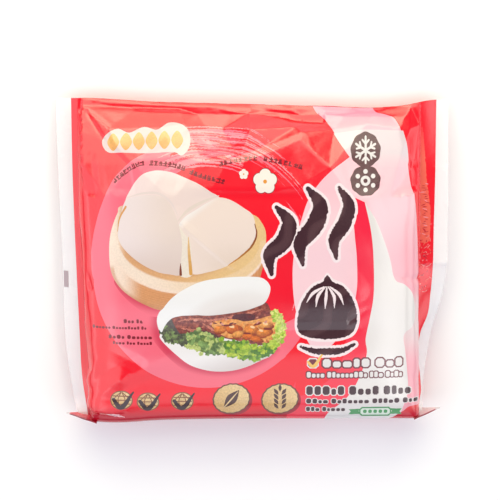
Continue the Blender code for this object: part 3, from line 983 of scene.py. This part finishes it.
def brush_marks():
    """A steaming bun in broad dark brush marks, each with a pale edge."""
    bun = loop(BUN_MARK)
    lines = STEAM_MARKS + (PLATE_MARK,)
    for line, widths in lines:
        brush(line, widths, HALO, grow=PALE_EDGE, rough=0.1, seed=1)
    middle = bun.mean(0)
    out = bun - middle
    lay(middle + out * (1 + PALE_EDGE / np.linalg.norm(out, axis=1, keepdims=True)), HALO)
    for k, (line, widths) in enumerate(lines):
        brush(line, widths, brushed, 0.25, rough=0.2, seed=k)
    lay(bun + np.random.default_rng(9).normal(0, 0.16, bun.shape), brushed, 0.25)
    for k, lean in enumerate((-1.0, -0.55, -0.1, 0.35, 0.8)):
        tip = np.array((46 + 12.5 * lean, -21 - 4 * (1 - lean**2)))
        start = np.array((46 + 2.2 * lean, -11.5))
        bend = (start + tip) / 2 + (1.6 * np.sign(lean + 0.1), 0.6)
        brush((start, bend, tip), (0.7, 1.9, 0.4), HALO, rough=0.05, seed=k)


def brushed(x, y):
    """Ink that thins a little here and there."""
    thin = 0.5 + 0.5 * np.sin(0.31 * x - 0.22 * y + 1.3 * np.sin(0.17 * y + 0.1 * x))
    return mixed(BROWN, srgb(98, 66, 68), 0.55 * ramp(0.5, 1.0, thin))


def frost_seals():
    """Two brown rounds, one with a snow crystal and one with a ring of dots."""
    upper, lower = np.array((69.3, 69.4)), np.array((69.2, 52.4))
    for centre in (upper, lower):
        lay(oval(centre, (9.2, 9.0), 0.2, 9, 0.025), SEAL_BROWN, 0.25)
    for k in range(6):
        turn = math.pi * k / 3 + math.pi / 6
        out = toward(turn)
        brush((upper, upper + out * 3, upper + out * 6.8), (1.3, 1.3, 1.2), MILK)
        for lean in (-0.8, 0.8):
            twig, joint = toward(turn + lean), upper + out * 3.4
            brush((joint, joint + twig * 1.3, joint + twig * 2.7), (1.1, 1.1, 1.0), MILK)
        lay(oval(lower + out * 5.4, (1.4, 1.4)), MILK)
    lay(oval(lower, (3.0, 3.0)), MILK)
    lay(oval(lower, (1.3, 1.3)), SEAL_BROWN)


def label():
    """A cream label with a row of golden lozenges."""
    edge = (
        (-91.5, 74), (-89, 78.6), (-82, 81.6), (-75, 79.6), (-66, 82.4), (-58, 81), (-51, 84.6), (-44, 84.2),
        (-38.8, 81), (-37.6, 75), (-39.4, 70), (-43, 67.2), (-48, 69.2), (-64, 68.4), (-80, 68.6), (-88, 69),
    )
    form(edge, LABEL)
    for k in range(6):
        x = -84.6 + 7.8 * k
        y = 74.4 + 0.32 * k
        shape = loop(((x, y - 4.8), (x + 3.7, y), (x, y + 4.8), (x - 3.7, y)))
        lay(shape, fade(OCHRE, OCHRE_PALE, (x, y - 5), (x, y + 6)), 0.3)


def blossom(centre, size):
    """A cream blossom with five petals and a fine dark edge."""
    for reach, colour in ((1.0, MAROON), (0.9, CREAM)):
        for k in range(5):
            turn = math.tau * k / 5 + 0.3
            place = (centre[0] + size * 0.52 * math.cos(turn), centre[1] + size * 0.52 * math.sin(turn))
            lay(oval(place, (size * (0.5 * reach + 0.02),) * 2), colour)
    lay(oval(centre, (size * 0.5, size * 0.5)), CREAM)
    lay(oval(centre, (size * 0.16, size * 0.16)), OCHRE)


def block(left, right, low, high, grow=0.0):
    """A block with corners a little rounded."""
    left, right, low, high = left - grow, right + grow, low - grow, high + grow
    cut = 0.25 * min(right - left, high - low)
    corners = (
        (left, low + cut), (left + cut, low), (right - cut, low), (right, low + cut),
        (right, high - cut), (right - cut, high), (left + cut, high), (left, high - cut),
    )
    return np.array(corners)


def block_row(left, right, middle, tall, groups, seed):
    """Blocks of uneven width in a row, in groups with so many in each, that fill it from end to end."""
    made = np.random.default_rng(seed)
    widths = [made.uniform(0.75, 1.2, count) for count in groups]
    gap, space = 0.3, 0.85
    total = sum(w.sum() + gap * (len(w) - 1) for w in widths) + space * (len(groups) - 1)
    unit = (right - left) / total
    out = []
    for group in widths:
        for k, wide in enumerate(group):
            low, high = middle - tall / 2, middle + 0.2 * tall
            if k == 0 or made.random() < 0.25:
                high = middle + tall / 2
            out.append((left, left + wide * unit, low, high))
            left += (wide + gap) * unit
        left += (space - gap) * unit
    return out


def lay_row(row, paint, grow=0.0):
    for one in row:
        lay(block(*one, grow), paint)


def marks_along(line, count, size):
    """Clusters of four short bars along a curved line, turned with it, with a gap after every eight."""
    made = np.random.default_rng(count)
    places, _ = smooth_line(line)
    ahead = np.gradient(places, axis=0)
    for k, i in enumerate(np.linspace(0, len(places) - 1, count).astype(int)):
        turn = math.atan2(ahead[i, 1], ahead[i, 0]) + made.normal(0, 0.06)
        spin = np.array(((math.cos(turn), math.sin(turn)), (-math.sin(turn), math.cos(turn))))
        wide, tall = size * made.uniform(0.36, 0.46), size * made.uniform(0.4, 0.5)
        if k % 9 == 8:
            continue
        level, middle, right = made.uniform(-0.7, 0.7, 3) * (tall, wide, wide)
        for shape in (
            block(-wide, wide, level - 0.36, level + 0.36),
            block(-wide, wide, -tall, -tall + 0.65),
            block(middle - 0.38, middle + 0.38, -tall, tall),
            block(right - 0.3, right + 0.4, -0.2 * tall, tall),
        ):
            lay(places[i] + shape @ spin, MAROON)


# The two arcs of small marks over the round, each with how many marks and their size
MARK_ARCS = (
    (
        ((-83.5, 52.4), (-77.6, 57.4), (-69, 62), (-56, 62.6), (-45.6, 61.3), (-32.9, 56.1), (-15, 51.4)),
        27, 3.1,
    ),
    (((-18.8, 62.1), (-11, 63.8), (2, 65.1), (18.8, 62.8), (32.9, 59.4)), 18, 2.9),
)

# Rows of blocks, as (left, right, middle, height, how many in each group): small ones at the left, then the
# pale and the dark ones at the lower right, with the width of their edge as well
SMALL_ROWS = (
    (-78.6, -61.2, -33.2, 2.6, (3, 4)),
    (-97.9, -61.2, -37.4, 2.0, (6, 9, 4)),
    (-88.0, -61.3, -43.2, 2.5, (4, 6)),
    (-85.4, -61.3, -47.0, 2.0, (4, 3, 5)),
)
PALE_ROWS = ((43.6, 92.6, -59.4, 5.4, (5, 3), 0.9), (33.8, 92.7, -67.0, 3.7, (4, 9, 3, 4), 0.7))
DARK_ROWS = (
    (33.6, 98.4, -77.3, 5.6, (5, 4, 4), 0.6),
    (33.6, 103.0, -84.2, 3.2, (4, 7, 5, 3), 0.45),
    (33.6, 57.7, -89.8, 3.1, (3, 5), 0.45),
)


def small_rows():
    """Arcs of small marks, and rows of small blocks."""
    for line, count, size in MARK_ARCS:
        marks_along(line, count, size)
    for k, row in enumerate(SMALL_ROWS):
        lay_row(block_row(*row, k), MAROON)


LARGE_BADGES = ((-12.6, -82.9), (17.4, -82.9))


def badges():
    """Gold rounds along the foot: small ones with bands and a tick, one with a leaf and one with wheat."""
    for x, y in ((-80.6, -83.8), (-64.2, -84.8), (-43, -84.4)):
        lay(oval((x, y), (7.0, 6.2)), GOLD_DARK)
        lay(oval((x, y), (6.3, 5.5)), fade(GOLD, GOLD_PALE, (x - 4, y - 4), (x + 4, y + 4)), 0.4)
        for reach in (0.35, 0.75):
            brush(arc((x, y), (6.2 * reach, 5.5), 90, 450), (0.6, 0.6, 0.6), GOLD_DARK)
        for drop in (-2.6, 0, 2.6):
            half = 6.2 * math.sqrt(1 - (drop / 5.6) ** 2)
            lay(bar(x - half, x + half, y + drop, 0.7), GOLD_DARK)
        brush(((x - 5, y + 0.4), (x - 1.2, y - 4.6), (x + 7.4, y + 5.2)), (2.2, 3.0, 1.0), srgb(58, 30, 32))
    for x, y in LARGE_BADGES:
        lay(oval((x + 0.6, y - 0.8), (12.3, 10.6)), srgb(170, 10, 34))
        lay(oval((x, y), (11.8, 10.2), 0.3, 18, 0.018), srgb(110, 62, 44))
        gold = fade(GOLD, GOLD_PALE, (x - 8, y - 8), (x + 8, y + 8))
        lay(oval((x, y), (10.9, 9.4), 0.3, 18, 0.015), gold, 0.4)
    leaf(LARGE_BADGES[0], 7.8, 0.9, BADGE_INK)
    brush(((-17.2, -88.6), LARGE_BADGES[0], (-8.6, -78)), (0.5, 0.9, 0.3), GOLD_PALE)
    wheat(np.array(LARGE_BADGES[1]))


def leaf(centre, length, turn, colour):
    out = toward(turn)
    side = np.array((-out[1], out[0])) * length * 0.42
    tip, tail = centre + out * length, centre - out * length
    form((tip, tip, centre + side, tail, tail, centre - side), colour)


def wheat(centre):
    """An ear with a grain at its tip and four at each side."""
    for k in range(4):
        for side in (-1, 1):
            leaf(centre + (side * 2.4, -4.7 + 3.2 * k), 2.6, math.pi / 2 - side * 0.6, BADGE_INK)
    leaf(centre + (0, 7.4), 2.5, math.pi / 2, BADGE_INK)


def large_rows():
    """The lower right: rows of blocks, a ticked box, and a green plate with a leaf at each corner."""
    for rows, ink, rim in ((PALE_ROWS, MILK, srgb(112, 34, 44)), (DARK_ROWS, BROWN, MILK)):
        for k, (*row, edge) in enumerate(rows):
            found = block_row(*row, 40 + k)
            lay_row(found, rim, edge)
            lay_row(found, ink)
    lay(block(33.8, 41.2, -62.8, -56.0), MILK)
    lay(block(34.6, 40.4, -62.0, -56.8), srgb(120, 30, 40))
    brush(((34.6, -58.6), (37.0, -61.4), (43.0, -54.2)), (1.5, 2.1, 1.1), srgb(250, 200, 96))
    lay(block(66.5, 86.5, -95.0, -88.4), GREEN)
    lay(block(67.4, 85.6, -94.1, -89.3), srgb(226, 242, 226))
    for left in (69, 72.2, 75.4, 78.6, 81.8):
        lay(block(left, left + 2.2, -92.8, -90.4), GREEN)
    for x, turn in ((63.6, 0.5), (63.9, -0.4), (89.4, 2.6), (89.2, 3.6)):
        leaf(np.array((x, -91.7)), 4.2, turn, GREEN)


def composed(*parts):
    """The fields that some parts of the print lay down."""
    LAYERS.clear()
    for part in parts:
        part()
    return list(LAYERS)


def blossoms():
    blossom((8.0, 52.0), 7.4)
    blossom((-5.0, 56.2), 3.0)


FRONT_PRINT = (
    print_fields, seal_painted_sheen, small_rows, pictured_basket, pictured_folded_bun, brush_marks, frost_seals,
    label, blossoms, badges, large_rows,
)
BACK_SWEEP = (
    (-128, 30), (-128, 30), (-60, 44), (20, 30), (128, 52), (128, 52), (128, -30), (40, -52), (-50, -30),
    (-128, -48),
)


def back_print():
    """A guess: a pale sweep, and a plain panel with rows of small blocks."""
    form(BACK_SWEEP, PALE_PINK)
    lay(block(-78, 62, -52, 54), MILK)
    for k in range(15):
        right = (56, 50, 56, 20)[k % 4]
        lay_row(block_row(-72, right, 46 - 6 * k, 2.4, (7, 4, 9, 6, 5), k), MAROON)
    lay(block(24, 56, -48, -44), CRIMSON)


# The film's mesh

def inside(points, outline):
    """Which points lie inside a closed outline."""
    low, high = outline.min(0), outline.max(0)
    near = np.flatnonzero(((points >= low) & (points <= high)).all(1))
    found = np.zeros(len(points), bool)
    if not len(near):
        return found
    x, y = points[near, 0], points[near, 1]
    odd = np.zeros(len(near), bool)
    for (x1, y1), (x2, y2) in zip(outline, np.roll(outline, -1, 0)):
        crosses = (y1 > y) != (y2 > y)
        if y1 != y2:
            odd ^= crosses & (x < x1 + (y - y1) * (x2 - x1) / (y2 - y1))
    found[near] = odd
    return found


def scatter(low, high, step):
    """Rows of points a step apart, each row shifted by half a step."""
    rows = np.arange(low[1], high[1] + step / 2, step * math.sqrt(0.75))
    out = []
    for k, row in enumerate(rows):
        places = np.arange(low[0] + (k % 2) * step / 2, high[0] + step / 4, step)
        out.append(np.stack((places, np.full(len(places), row)), -1))
    return np.concatenate(out)


# The corners of the picture in plan, and the steps between the points of the mesh: on the front outside the
# picture and inside it, and on the back
PICTURE = ((-92, -70), (64, 60))
COARSE, FINE, BACK_STEP = ((1.35, 0.85, 2.2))


def front_mesh(layers):
    """The front's mesh: triangles that follow every edge of the print, so that its colours meet sharply."""
    low, high = np.array((-PRINT_EDGE, 0.0)), np.array((PRINT_EDGE, FILM.back_start))
    picture = [np.stack(FILM.film_of_plan(*np.array(corner)[:, None]), -1)[0] for corner in PICTURE]
    picture_low, picture_high = np.minimum(*picture), np.maximum(*picture)
    wide = scatter(low + 0.4, high - 0.4, COARSE)
    wide = wide[~((wide > picture_low) & (wide < picture_high)).all(1)]
    close = scatter(picture_low, picture_high, FINE)
    ends = np.linspace(FLAT_HALF - 6, FLAT_HALF + 2, 7)
    rows = np.arange(0.7, high[1], 1.4)
    extra = np.stack(np.meshgrid(np.r_[-ends, ends], rows), -1).reshape(-1, 2)
    border = rectangle(low, high, COARSE)
    creases = [(one[:2], two[:2]) for row in CREASES for one, two in zip(row, row[1:])]
    lines = []
    for (x1, y1), (x2, y2) in creases + [fold[:2] for fold in FOLDS]:
        count = max(int(math.hypot(x2 - x1, y2 - y1) / 1.1), 2) + 1
        flat = np.stack(FILM.film_of_plan(np.linspace(x1, x2, count), np.linspace(y1, y2, count)), -1)
        lines.append(np.clip(flat, low, high))
    outlines = [outline_on_film(outline, low, high) for outline, _, _ in layers]
    return (*joined((border, wide, close, extra), [border] + outlines, lines), outlines)


def back_mesh(layers):
    """The back's mesh, made in the same way."""
    low, high = np.array((-PRINT_EDGE, FILM.back_start)), np.array((PRINT_EDGE, FILM.total))
    border = rectangle(low, high, BACK_STEP)
    outlines = [outline_on_film(outline, low, high, True) for outline, _, _ in layers]
    return (*joined((border, scatter(low + 0.5, high - 0.5, BACK_STEP)), [border] + outlines, []), outlines)


def outline_on_film(outline, low, high, behind=False):
    return np.clip(np.stack(FILM.film_of_plan(outline[:, 0], outline[:, 1], behind), -1), low, high)


def joined(points, closed, open_lines):
    """Triangles between all the points that keep every closed and every open line as edges."""
    points = list(points)
    total = sum(map(len, points))
    segments = []
    for row in closed + open_lines:
        steps = np.arange(len(row))
        pairs = np.stack((steps, np.roll(steps, -1)), -1) + total
        segments.append(pairs if len(segments) < len(closed) else pairs[:-1])
        points.append(row)
        total += len(row)
    made = geometry.delaunay_2d_cdt(
        [Vector(p) for p in np.concatenate(points)],
        [tuple(map(int, pair)) for pair in np.concatenate(segments)],
        [], 0, 1e-4, False,
    )
    return np.array([tuple(p) for p in made[0]]), np.array(made[2])


def rectangle(low, high, step):
    across = np.arange(low[0], high[0], step)
    up = np.arange(low[1], high[1], step)
    bottom = np.stack((across, np.full(len(across), low[1])), -1)
    right = np.stack((np.full(len(up), high[0]), up), -1)
    return np.concatenate((bottom, right, low + high - bottom, low + high - right))


# The back's ground keeps the plain red of the front's upper part, without the painted shade at the foot
BACK_GROUND_RAISED = 80


def colours_of(flat, faces, outlines, layers, behind):
    """The colour of each face's corners, and its printed fleck: the last field that holds the face wins."""
    centres = flat[faces].mean(1)
    owner = np.full(len(faces), -1)
    for k in range(len(outlines) - 1, -1, -1):
        free = np.flatnonzero(owner < 0)
        owner[free[inside(centres[free], outlines[k])]] = k
    corners = FILM.base(flat[:, 0], flat[:, 1])[:, :2][faces]
    colours = ground(corners[..., 0], corners[..., 1] + (BACK_GROUND_RAISED if behind else 0))
    grain = np.zeros(len(faces))
    for k, (_, paint, fleck) in enumerate(layers):
        mine = owner == k
        if mine.any():
            colours[mine] = paint(corners[mine][..., 0], corners[mine][..., 1])
            grain[mine] = fleck
    return colours, grain


def new_piece(name, points, faces, material):
    mesh = bpy.data.meshes.new(name)
    mesh.vertices.add(len(points))
    mesh.vertices.foreach_set("co", points.ravel())
    mesh.loops.add(faces.size)
    mesh.loops.foreach_set("vertex_index", faces.ravel().astype(np.int32))
    mesh.polygons.add(len(faces))
    mesh.polygons.foreach_set("loop_start", np.arange(len(faces), dtype=np.int32) * 3)
    mesh.polygons.foreach_set("use_smooth", np.ones(len(faces), bool))
    mesh.update(calc_edges=True)
    mesh.materials.append(material)
    piece = bpy.data.objects.new(name, mesh)
    bpy.context.scene.collection.objects.link(piece)
    return piece


def film_piece(name, flat, faces, relief, material):
    """A mesh of film, with its flat film coordinates as its UV map."""
    piece = new_piece(name, FILM.points(flat[:, 0], flat[:, 1], relief), faces, material)
    low, high = flat.min(0), flat.max(0)
    uv = piece.data.uv_layers.new(name="OFBake")
    uv.data.foreach_set("uv", (UV_START + UV_REACH * (flat[faces] - low) / (high - low).max()).ravel())
    return piece


def sheet(name, grid, thickness, material):
    """A thin closed sheet: a grid of places, the same grid a thickness behind it, and a rim between them."""
    rows, columns = grid.shape[:2]
    normal = np.cross(np.gradient(grid, axis=0), np.gradient(grid, axis=1))
    normal /= np.linalg.norm(normal, axis=-1, keepdims=True)
    count = rows * columns
    points = np.concatenate((grid.reshape(-1, 3), (grid - normal * thickness * MM).reshape(-1, 3)))
    near = grid_faces(columns, rows)
    across, along = np.arange(columns), np.arange(rows) * columns
    ring = np.r_[along, along[-1] + across[1:], along[-2::-1] + columns - 1, across[-2:0:-1]]
    after = np.roll(ring, -1)
    rim = np.concatenate(
        (np.stack((ring + count, after + count, after), -1), np.stack((ring + count, after, ring), -1)),
    )
    piece = new_piece(name, points, np.concatenate((near, near[:, ::-1] + count, rim)), material)
    piece.data.set_sharp_from_angle(angle=math.radians(50))
    return piece


# The share of a print colour's strength that the film keeps
INK = 0.86
# Where the UV map starts, and how far its longer side reaches
UV_START, UV_REACH = 0.01, 0.98


def paint_faces(piece, colours, grain):
    # The colours hold the print and also painted light: sheen and wrinkle marks on the right seal, a glint
    # and shade at the foot
    attribute = piece.data.color_attributes.new("print", "FLOAT_COLOR", "CORNER")
    values = np.concatenate((colours * INK, np.ones((*colours.shape[:2], 1))), -1)
    attribute.data.foreach_set("color", values.ravel())
    piece.data.attributes.new("fleck", "FLOAT", "FACE").data.foreach_set("value", grain)


def paint_points(piece, colours):
    # Also used for the ears, whose colours hold a painted sheen and a painted shade along the fold
    attribute = piece.data.color_attributes.new("print", "FLOAT_COLOR", "POINT")
    attribute.data.foreach_set("color", np.c_[colours * INK, np.ones(len(colours))].ravel())


def grid_faces(wide, tall):
    """Two triangles for each cell of a grid of points, row by row."""
    k = (np.arange(tall - 1)[:, None] * wide + np.arange(wide - 1)).ravel()
    one = np.stack((k, k + wide, k + wide + 1), -1)
    two = np.stack((k, k + wide + 1, k + 1), -1)
    return np.concatenate((one, two))


def facing_out(flat, faces):
    """Turns faces over where they run the wrong way round the film, and drops those with no size."""
    first = flat[faces[:, 1]] - flat[faces[:, 0]]
    second = flat[faces[:, 2]] - flat[faces[:, 0]]
    turn = first[:, 0] * second[:, 1] - first[:, 1] * second[:, 0]
    faces = faces.copy()
    faces[turn > 0] = faces[turn > 0][:, ::-1]
    return faces[turn != 0]


# Materials

def node(tree, kind, **inputs):
    made = tree.nodes.new(kind)
    for name, value in inputs.items():
        made.inputs[name.replace("_", " ")].default_value = value
    return made


def noise(tree, place, **inputs):
    made = node(tree, "ShaderNodeTexNoise", **inputs)
    tree.links.new(place, made.inputs["Vector"])
    return made.outputs["Fac"]


def ranged(tree, value, low, high, **source):
    """A noise value, spread over a range."""
    spread = node(tree, "ShaderNodeMapRange", To_Min=low, To_Max=high, **source)
    tree.links.new(value, spread.inputs["Value"])
    return spread.outputs["Result"]


def film_material(name, gloss, wear, crinkle, bump):
    """Film whose gloss is worn unevenly and whose surface is finely crinkled."""
    material = bpy.data.materials.new(name)
    material.use_nodes = True
    tree = material.node_tree
    shader = tree.nodes["Principled BSDF"]
    place = tree.nodes.new("ShaderNodeTexCoord").outputs["Object"]
    tree.links.new(ranged(tree, noise(tree, place, **wear), *gloss), shader.inputs["Roughness"])
    relief = node(tree, "ShaderNodeBump", **bump)
    tree.links.new(noise(tree, place, **crinkle), relief.inputs["Height"])
    tree.links.new(relief.outputs["Normal"], shader.inputs["Normal"])
    return material, tree, shader, place


def printed_material():
    """Printed film: the colours of the print, with fine dots where a field has fleck."""
    wear, crinkle = {"Scale": 60.0, "Detail": 4.0}, {"Scale": 220.0, "Detail": 5.0, "Roughness": 0.55}
    bump = {"Strength": 0.12, "Distance": 0.0006}
    material, tree, shader, place = film_material("printed_film", (0.14, 0.26), wear, crinkle, bump)
    dots = noise(tree, place, Scale=900.0, Detail=3.0, Roughness=0.7)
    mix = tree.nodes.new("ShaderNodeMix")
    mix.data_type = "RGBA"
    mix.blend_type = "MULTIPLY"
    for name, output, into in (("fleck", "Fac", "Factor"), ("print", "Color", "A")):
        attribute = tree.nodes.new("ShaderNodeAttribute")
        attribute.attribute_name = name
        tree.links.new(attribute.outputs[output], mix.inputs[into])
    tree.links.new(ranged(tree, dots, 0.55, 1.35, From_Min=0.35, From_Max=0.65), mix.inputs["B"])
    tree.links.new(mix.outputs["Result"], shader.inputs["Base Color"])
    shader.inputs["IOR"].default_value = 1.85
    return material


def clear_material():
    """Clear film, a little milky, with fine wrinkles."""
    wear, crinkle = {"Scale": 45.0, "Detail": 3.0}, {"Scale": 160.0, "Detail": 4.0}
    bump = {"Strength": 0.15, "Distance": 0.0005}
    material, _, shader, _ = film_material("clear_margin", (0.16, 0.34), wear, crinkle, bump)
    shader.inputs["Base Color"].default_value = (0.97, 0.975, 0.98, 1)
    shader.inputs["Alpha"].default_value = 0.44
    return material


def plain_material(name, colour, roughness):
    material = bpy.data.materials.new(name)
    material.use_nodes = True
    shader = material.node_tree.nodes["Principled BSDF"]
    shader.inputs["Base Color"].default_value = (*colour, 1)
    shader.inputs["Roughness"].default_value = roughness
    return material


# Pieces

CLEAR_THICKNESS, EYE_MARK_THICKNESS, EAR_THICKNESS = 0.25, 0.15, 0.6


def dress(piece):
    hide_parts("bag")
    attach(piece, "root")


def make_side(name, fields, mesh_of, relief, material, behind=False):
    """The printed front or back of the bag."""
    layers = composed(*fields)
    flat, faces, outlines = mesh_of(layers)
    faces = facing_out(flat, faces)
    piece = film_piece(name, flat, faces, relief, material)
    paint_faces(piece, *colours_of(flat, faces, outlines, layers, behind))
    dress(piece)


def make_margins(material):
    for name, side in (("left", -1), ("right", 1)):
        a = np.sort(side * np.linspace(PRINT_EDGE, OUTER_EDGE, 9))
        places = FILM.points(*np.meshgrid(a, np.linspace(0, FILM.front_end, 160)))
        piece = sheet(f"clear_margin_{name}", places, CLEAR_THICKNESS, material)
        dress(piece)


# The printed mark that guides the packing machine: left, right, low and high in plan
EYE_MARK = (-117.2, -114.4, -17.7, -7.4)
EYE_MARK_LIFT = 0.25


def make_eye_mark(material):
    left, right, low, high = EYE_MARK
    x, y = np.meshgrid(np.linspace(left, right, 6), np.linspace(high, low, 16))
    grid = FILM.points(*FILM.film_of_plan(x, y))
    grid[..., 2] += EYE_MARK_LIFT * MM
    piece = sheet("eye_mark", grid, EYE_MARK_THICKNESS, material)
    paint_points(piece, srgb(170, 148, 152) * np.ones((len(piece.data.vertices), 3)))
    dress(piece)


# Ears, where the foot seal sticks out at the corners: tip, middle of the root, half the height of the root
EARS = (
    ("ear_left", (-116.6, -98.4, 18.5), (-96.5, -101, 19.0), 15.8),
    ("ear_right", (118.4, -95.2, 17.5), (101, -98.9, 18.5), 14.8),
)


def make_ears(material):
    """Two pointed flaps of folded film that stand on edge at the foot."""
    for name, tip, root, reach in EARS:
        tip, root = np.array(tip), np.array(root)
        t, s = np.meshgrid(np.linspace(0, 1, 26), np.linspace(-1, 1, 13), indexing="ij")
        half = 0.5 + (reach - 0.5) * (1 - t) ** 1.25
        bend = 0.9 + 0.35 * np.sin(7 * t + 1) * (1 - t) + 0.3 * s**2 * (1 - t)
        grid = root + (tip - root) * t[..., None]
        grid[..., 1] += bend
        grid[..., 2] += half * s
        grid = (grid + FILM.shift) * MM
        if name == "ear_right":
            grid = grid[:, ::-1]
            t, s = t[:, ::-1], s[:, ::-1]
        piece = sheet(name, grid, EAR_THICKNESS, material)
        paint_points(piece, np.tile(ear_colours(name, t, s).reshape(-1, 3), (2, 1)))
        dress(piece)


def ear_colours(name, t, s):
    """Red on the left, with a painted salmon sheen along its lower part, and pale on the right, with a
    painted shade along the fold at the upper edge and a bare tip.
    """
    if name == "ear_left":
        # The salmon of the left ear's lower part is a painted sheen on the red film
        body, bare = mixed(srgb(250, 70, 84), srgb(232, 30, 60), ramp(-0.4, 0.5, s)), 0.86
    else:
        body, bare = mixed(srgb(250, 228, 230), srgb(244, 204, 212), ramp(-0.4, 0.7, s)), 0.8
    # A painted shade along the fold at the upper edge, up to the bare tip
    fold_shade = ramp(0.72, 0.9, s) * (1 - ramp(bare, bare + 0.06, t))
    body = mixed(body, srgb(236, 228, 228), ramp(bare, bare + 0.06, t))
    return mixed(body, srgb(150, 0, 34), fold_shade)


def make_bag():
    printed = printed_material()
    make_side("front_film", FRONT_PRINT, front_mesh, front_relief, printed)
    make_side("back_film", (back_print,), back_mesh, back_relief, printed, True)
    make_ears(printed)
    make_margins(clear_material())
    make_eye_mark(printed)


# The camera leans towards the top seal, because the photo was taken from a little above the standing bag
CAMERA_TILT = math.radians(11.5)
CAMERA_DISTANCE = 1.3
SENSOR_WIDTH = 36
FRAME_WIDTH = 0.310
AIM = np.array((-1.15, 6.55, 17.0))


def make_camera():
    camera = bpy.data.cameras.new("camera")
    camera.sensor_width = SENSOR_WIDTH
    camera.lens = SENSOR_WIDTH * CAMERA_DISTANCE / FRAME_WIDTH
    eye = bpy.data.objects.new("camera", camera)
    away = Vector((0, math.sin(CAMERA_TILT), math.cos(CAMERA_TILT)))
    eye.location = Vector((AIM + FILM.shift) * MM) + away * CAMERA_DISTANCE
    eye.rotation_euler = (-CAMERA_TILT, 0, 0)
    bpy.context.scene.collection.objects.link(eye)
    bpy.context.scene.camera = eye


def make_floor():
    bpy.ops.mesh.primitive_plane_add(size=6)
    floor = bpy.context.object
    floor.name = "floor"
    floor.data.materials.append(plain_material("floor", (0.95, 0.95, 0.95), 0.8))
    floor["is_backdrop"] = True


# Softboxes: name, degrees from overhead, bearing, distance, size, glow and tint
CREAMY, NEUTRAL, ROSY = (1.0, 0.94, 0.68), (0.98, 0.98, 1.0), (1.0, 0.98, 0.98)
SOFTBOXES = (
    ("high_box", 70, 92, 1.4, (1.7, 0.40), 2.0, CREAMY),
    ("mid_box", 53, 92, 1.4, (1.7, 0.44), 4.1, CREAMY),
    ("top_box", 34, 94, 1.4, (1.7, 0.49), 1.9, (1.0, 0.96, 0.80)),
    ("left_box", 43, 186, 1.3, (1.3, 0.9), 1.15, NEUTRAL),
    ("left_wing", 68, 184, 1.3, (1.5, 0.5), 1.3, NEUTRAL),
    ("low_card", 32, -92, 1.3, (1.5, 0.72), 0.85, (0.95, 0.98, 1.05)),
    ("foot_box", 64, -92, 1.4, (1.7, 0.5), 0.8, NEUTRAL),
    ("right_box", 34, -6, 1.4, (1.2, 0.7), 1.8, ROSY),
    ("right_wing", 66, -4, 1.3, (1.5, 0.5), 1.5, ROSY),
)
WORLD_COLOUR = (0.94, 0.99, 1.45, 1)
WORLD_STRENGTH = 0.14


def softbox(name, lean, bearing, distance, size, glow, tint):
    """A softbox that faces the bag, so many degrees from overhead, at a bearing counted from +X."""
    lean, bearing = math.radians(lean), math.radians(bearing)
    away = Vector((math.sin(lean) * math.cos(bearing), math.sin(lean) * math.sin(bearing), math.cos(lean)))
    light = bpy.data.lights.new(name, "AREA")
    light.shape = "RECTANGLE"
    light.size, light.size_y = size
    light.energy = glow * math.pi * size[0] * size[1]
    light.color = tint
    lamp = bpy.data.objects.new(name, light)
    lamp.location = away * distance
    lamp.rotation_euler = away.to_track_quat("Z", "Y").to_euler()
    bpy.context.scene.collection.objects.link(lamp)


def make_light():
    for box in SOFTBOXES:
        softbox(*box)
    world = bpy.data.worlds.new("world")
    world.use_nodes = True
    background = world.node_tree.nodes["Background"]
    background.inputs["Color"].default_value = WORLD_COLOUR
    background.inputs["Strength"].default_value = WORLD_STRENGTH
    bpy.context.scene.world = world
    bpy.context.scene.view_settings.view_transform = "Standard"


def write_sizes():
    boxes = {"cad": CAD_BOX, "visual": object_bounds()}
    plain_boxes = {name: [list(map(float, corner)) for corner in box] for name, box in boxes.items()}


make_bag()
make_camera()
make_floor()
make_light()
write_sizes()
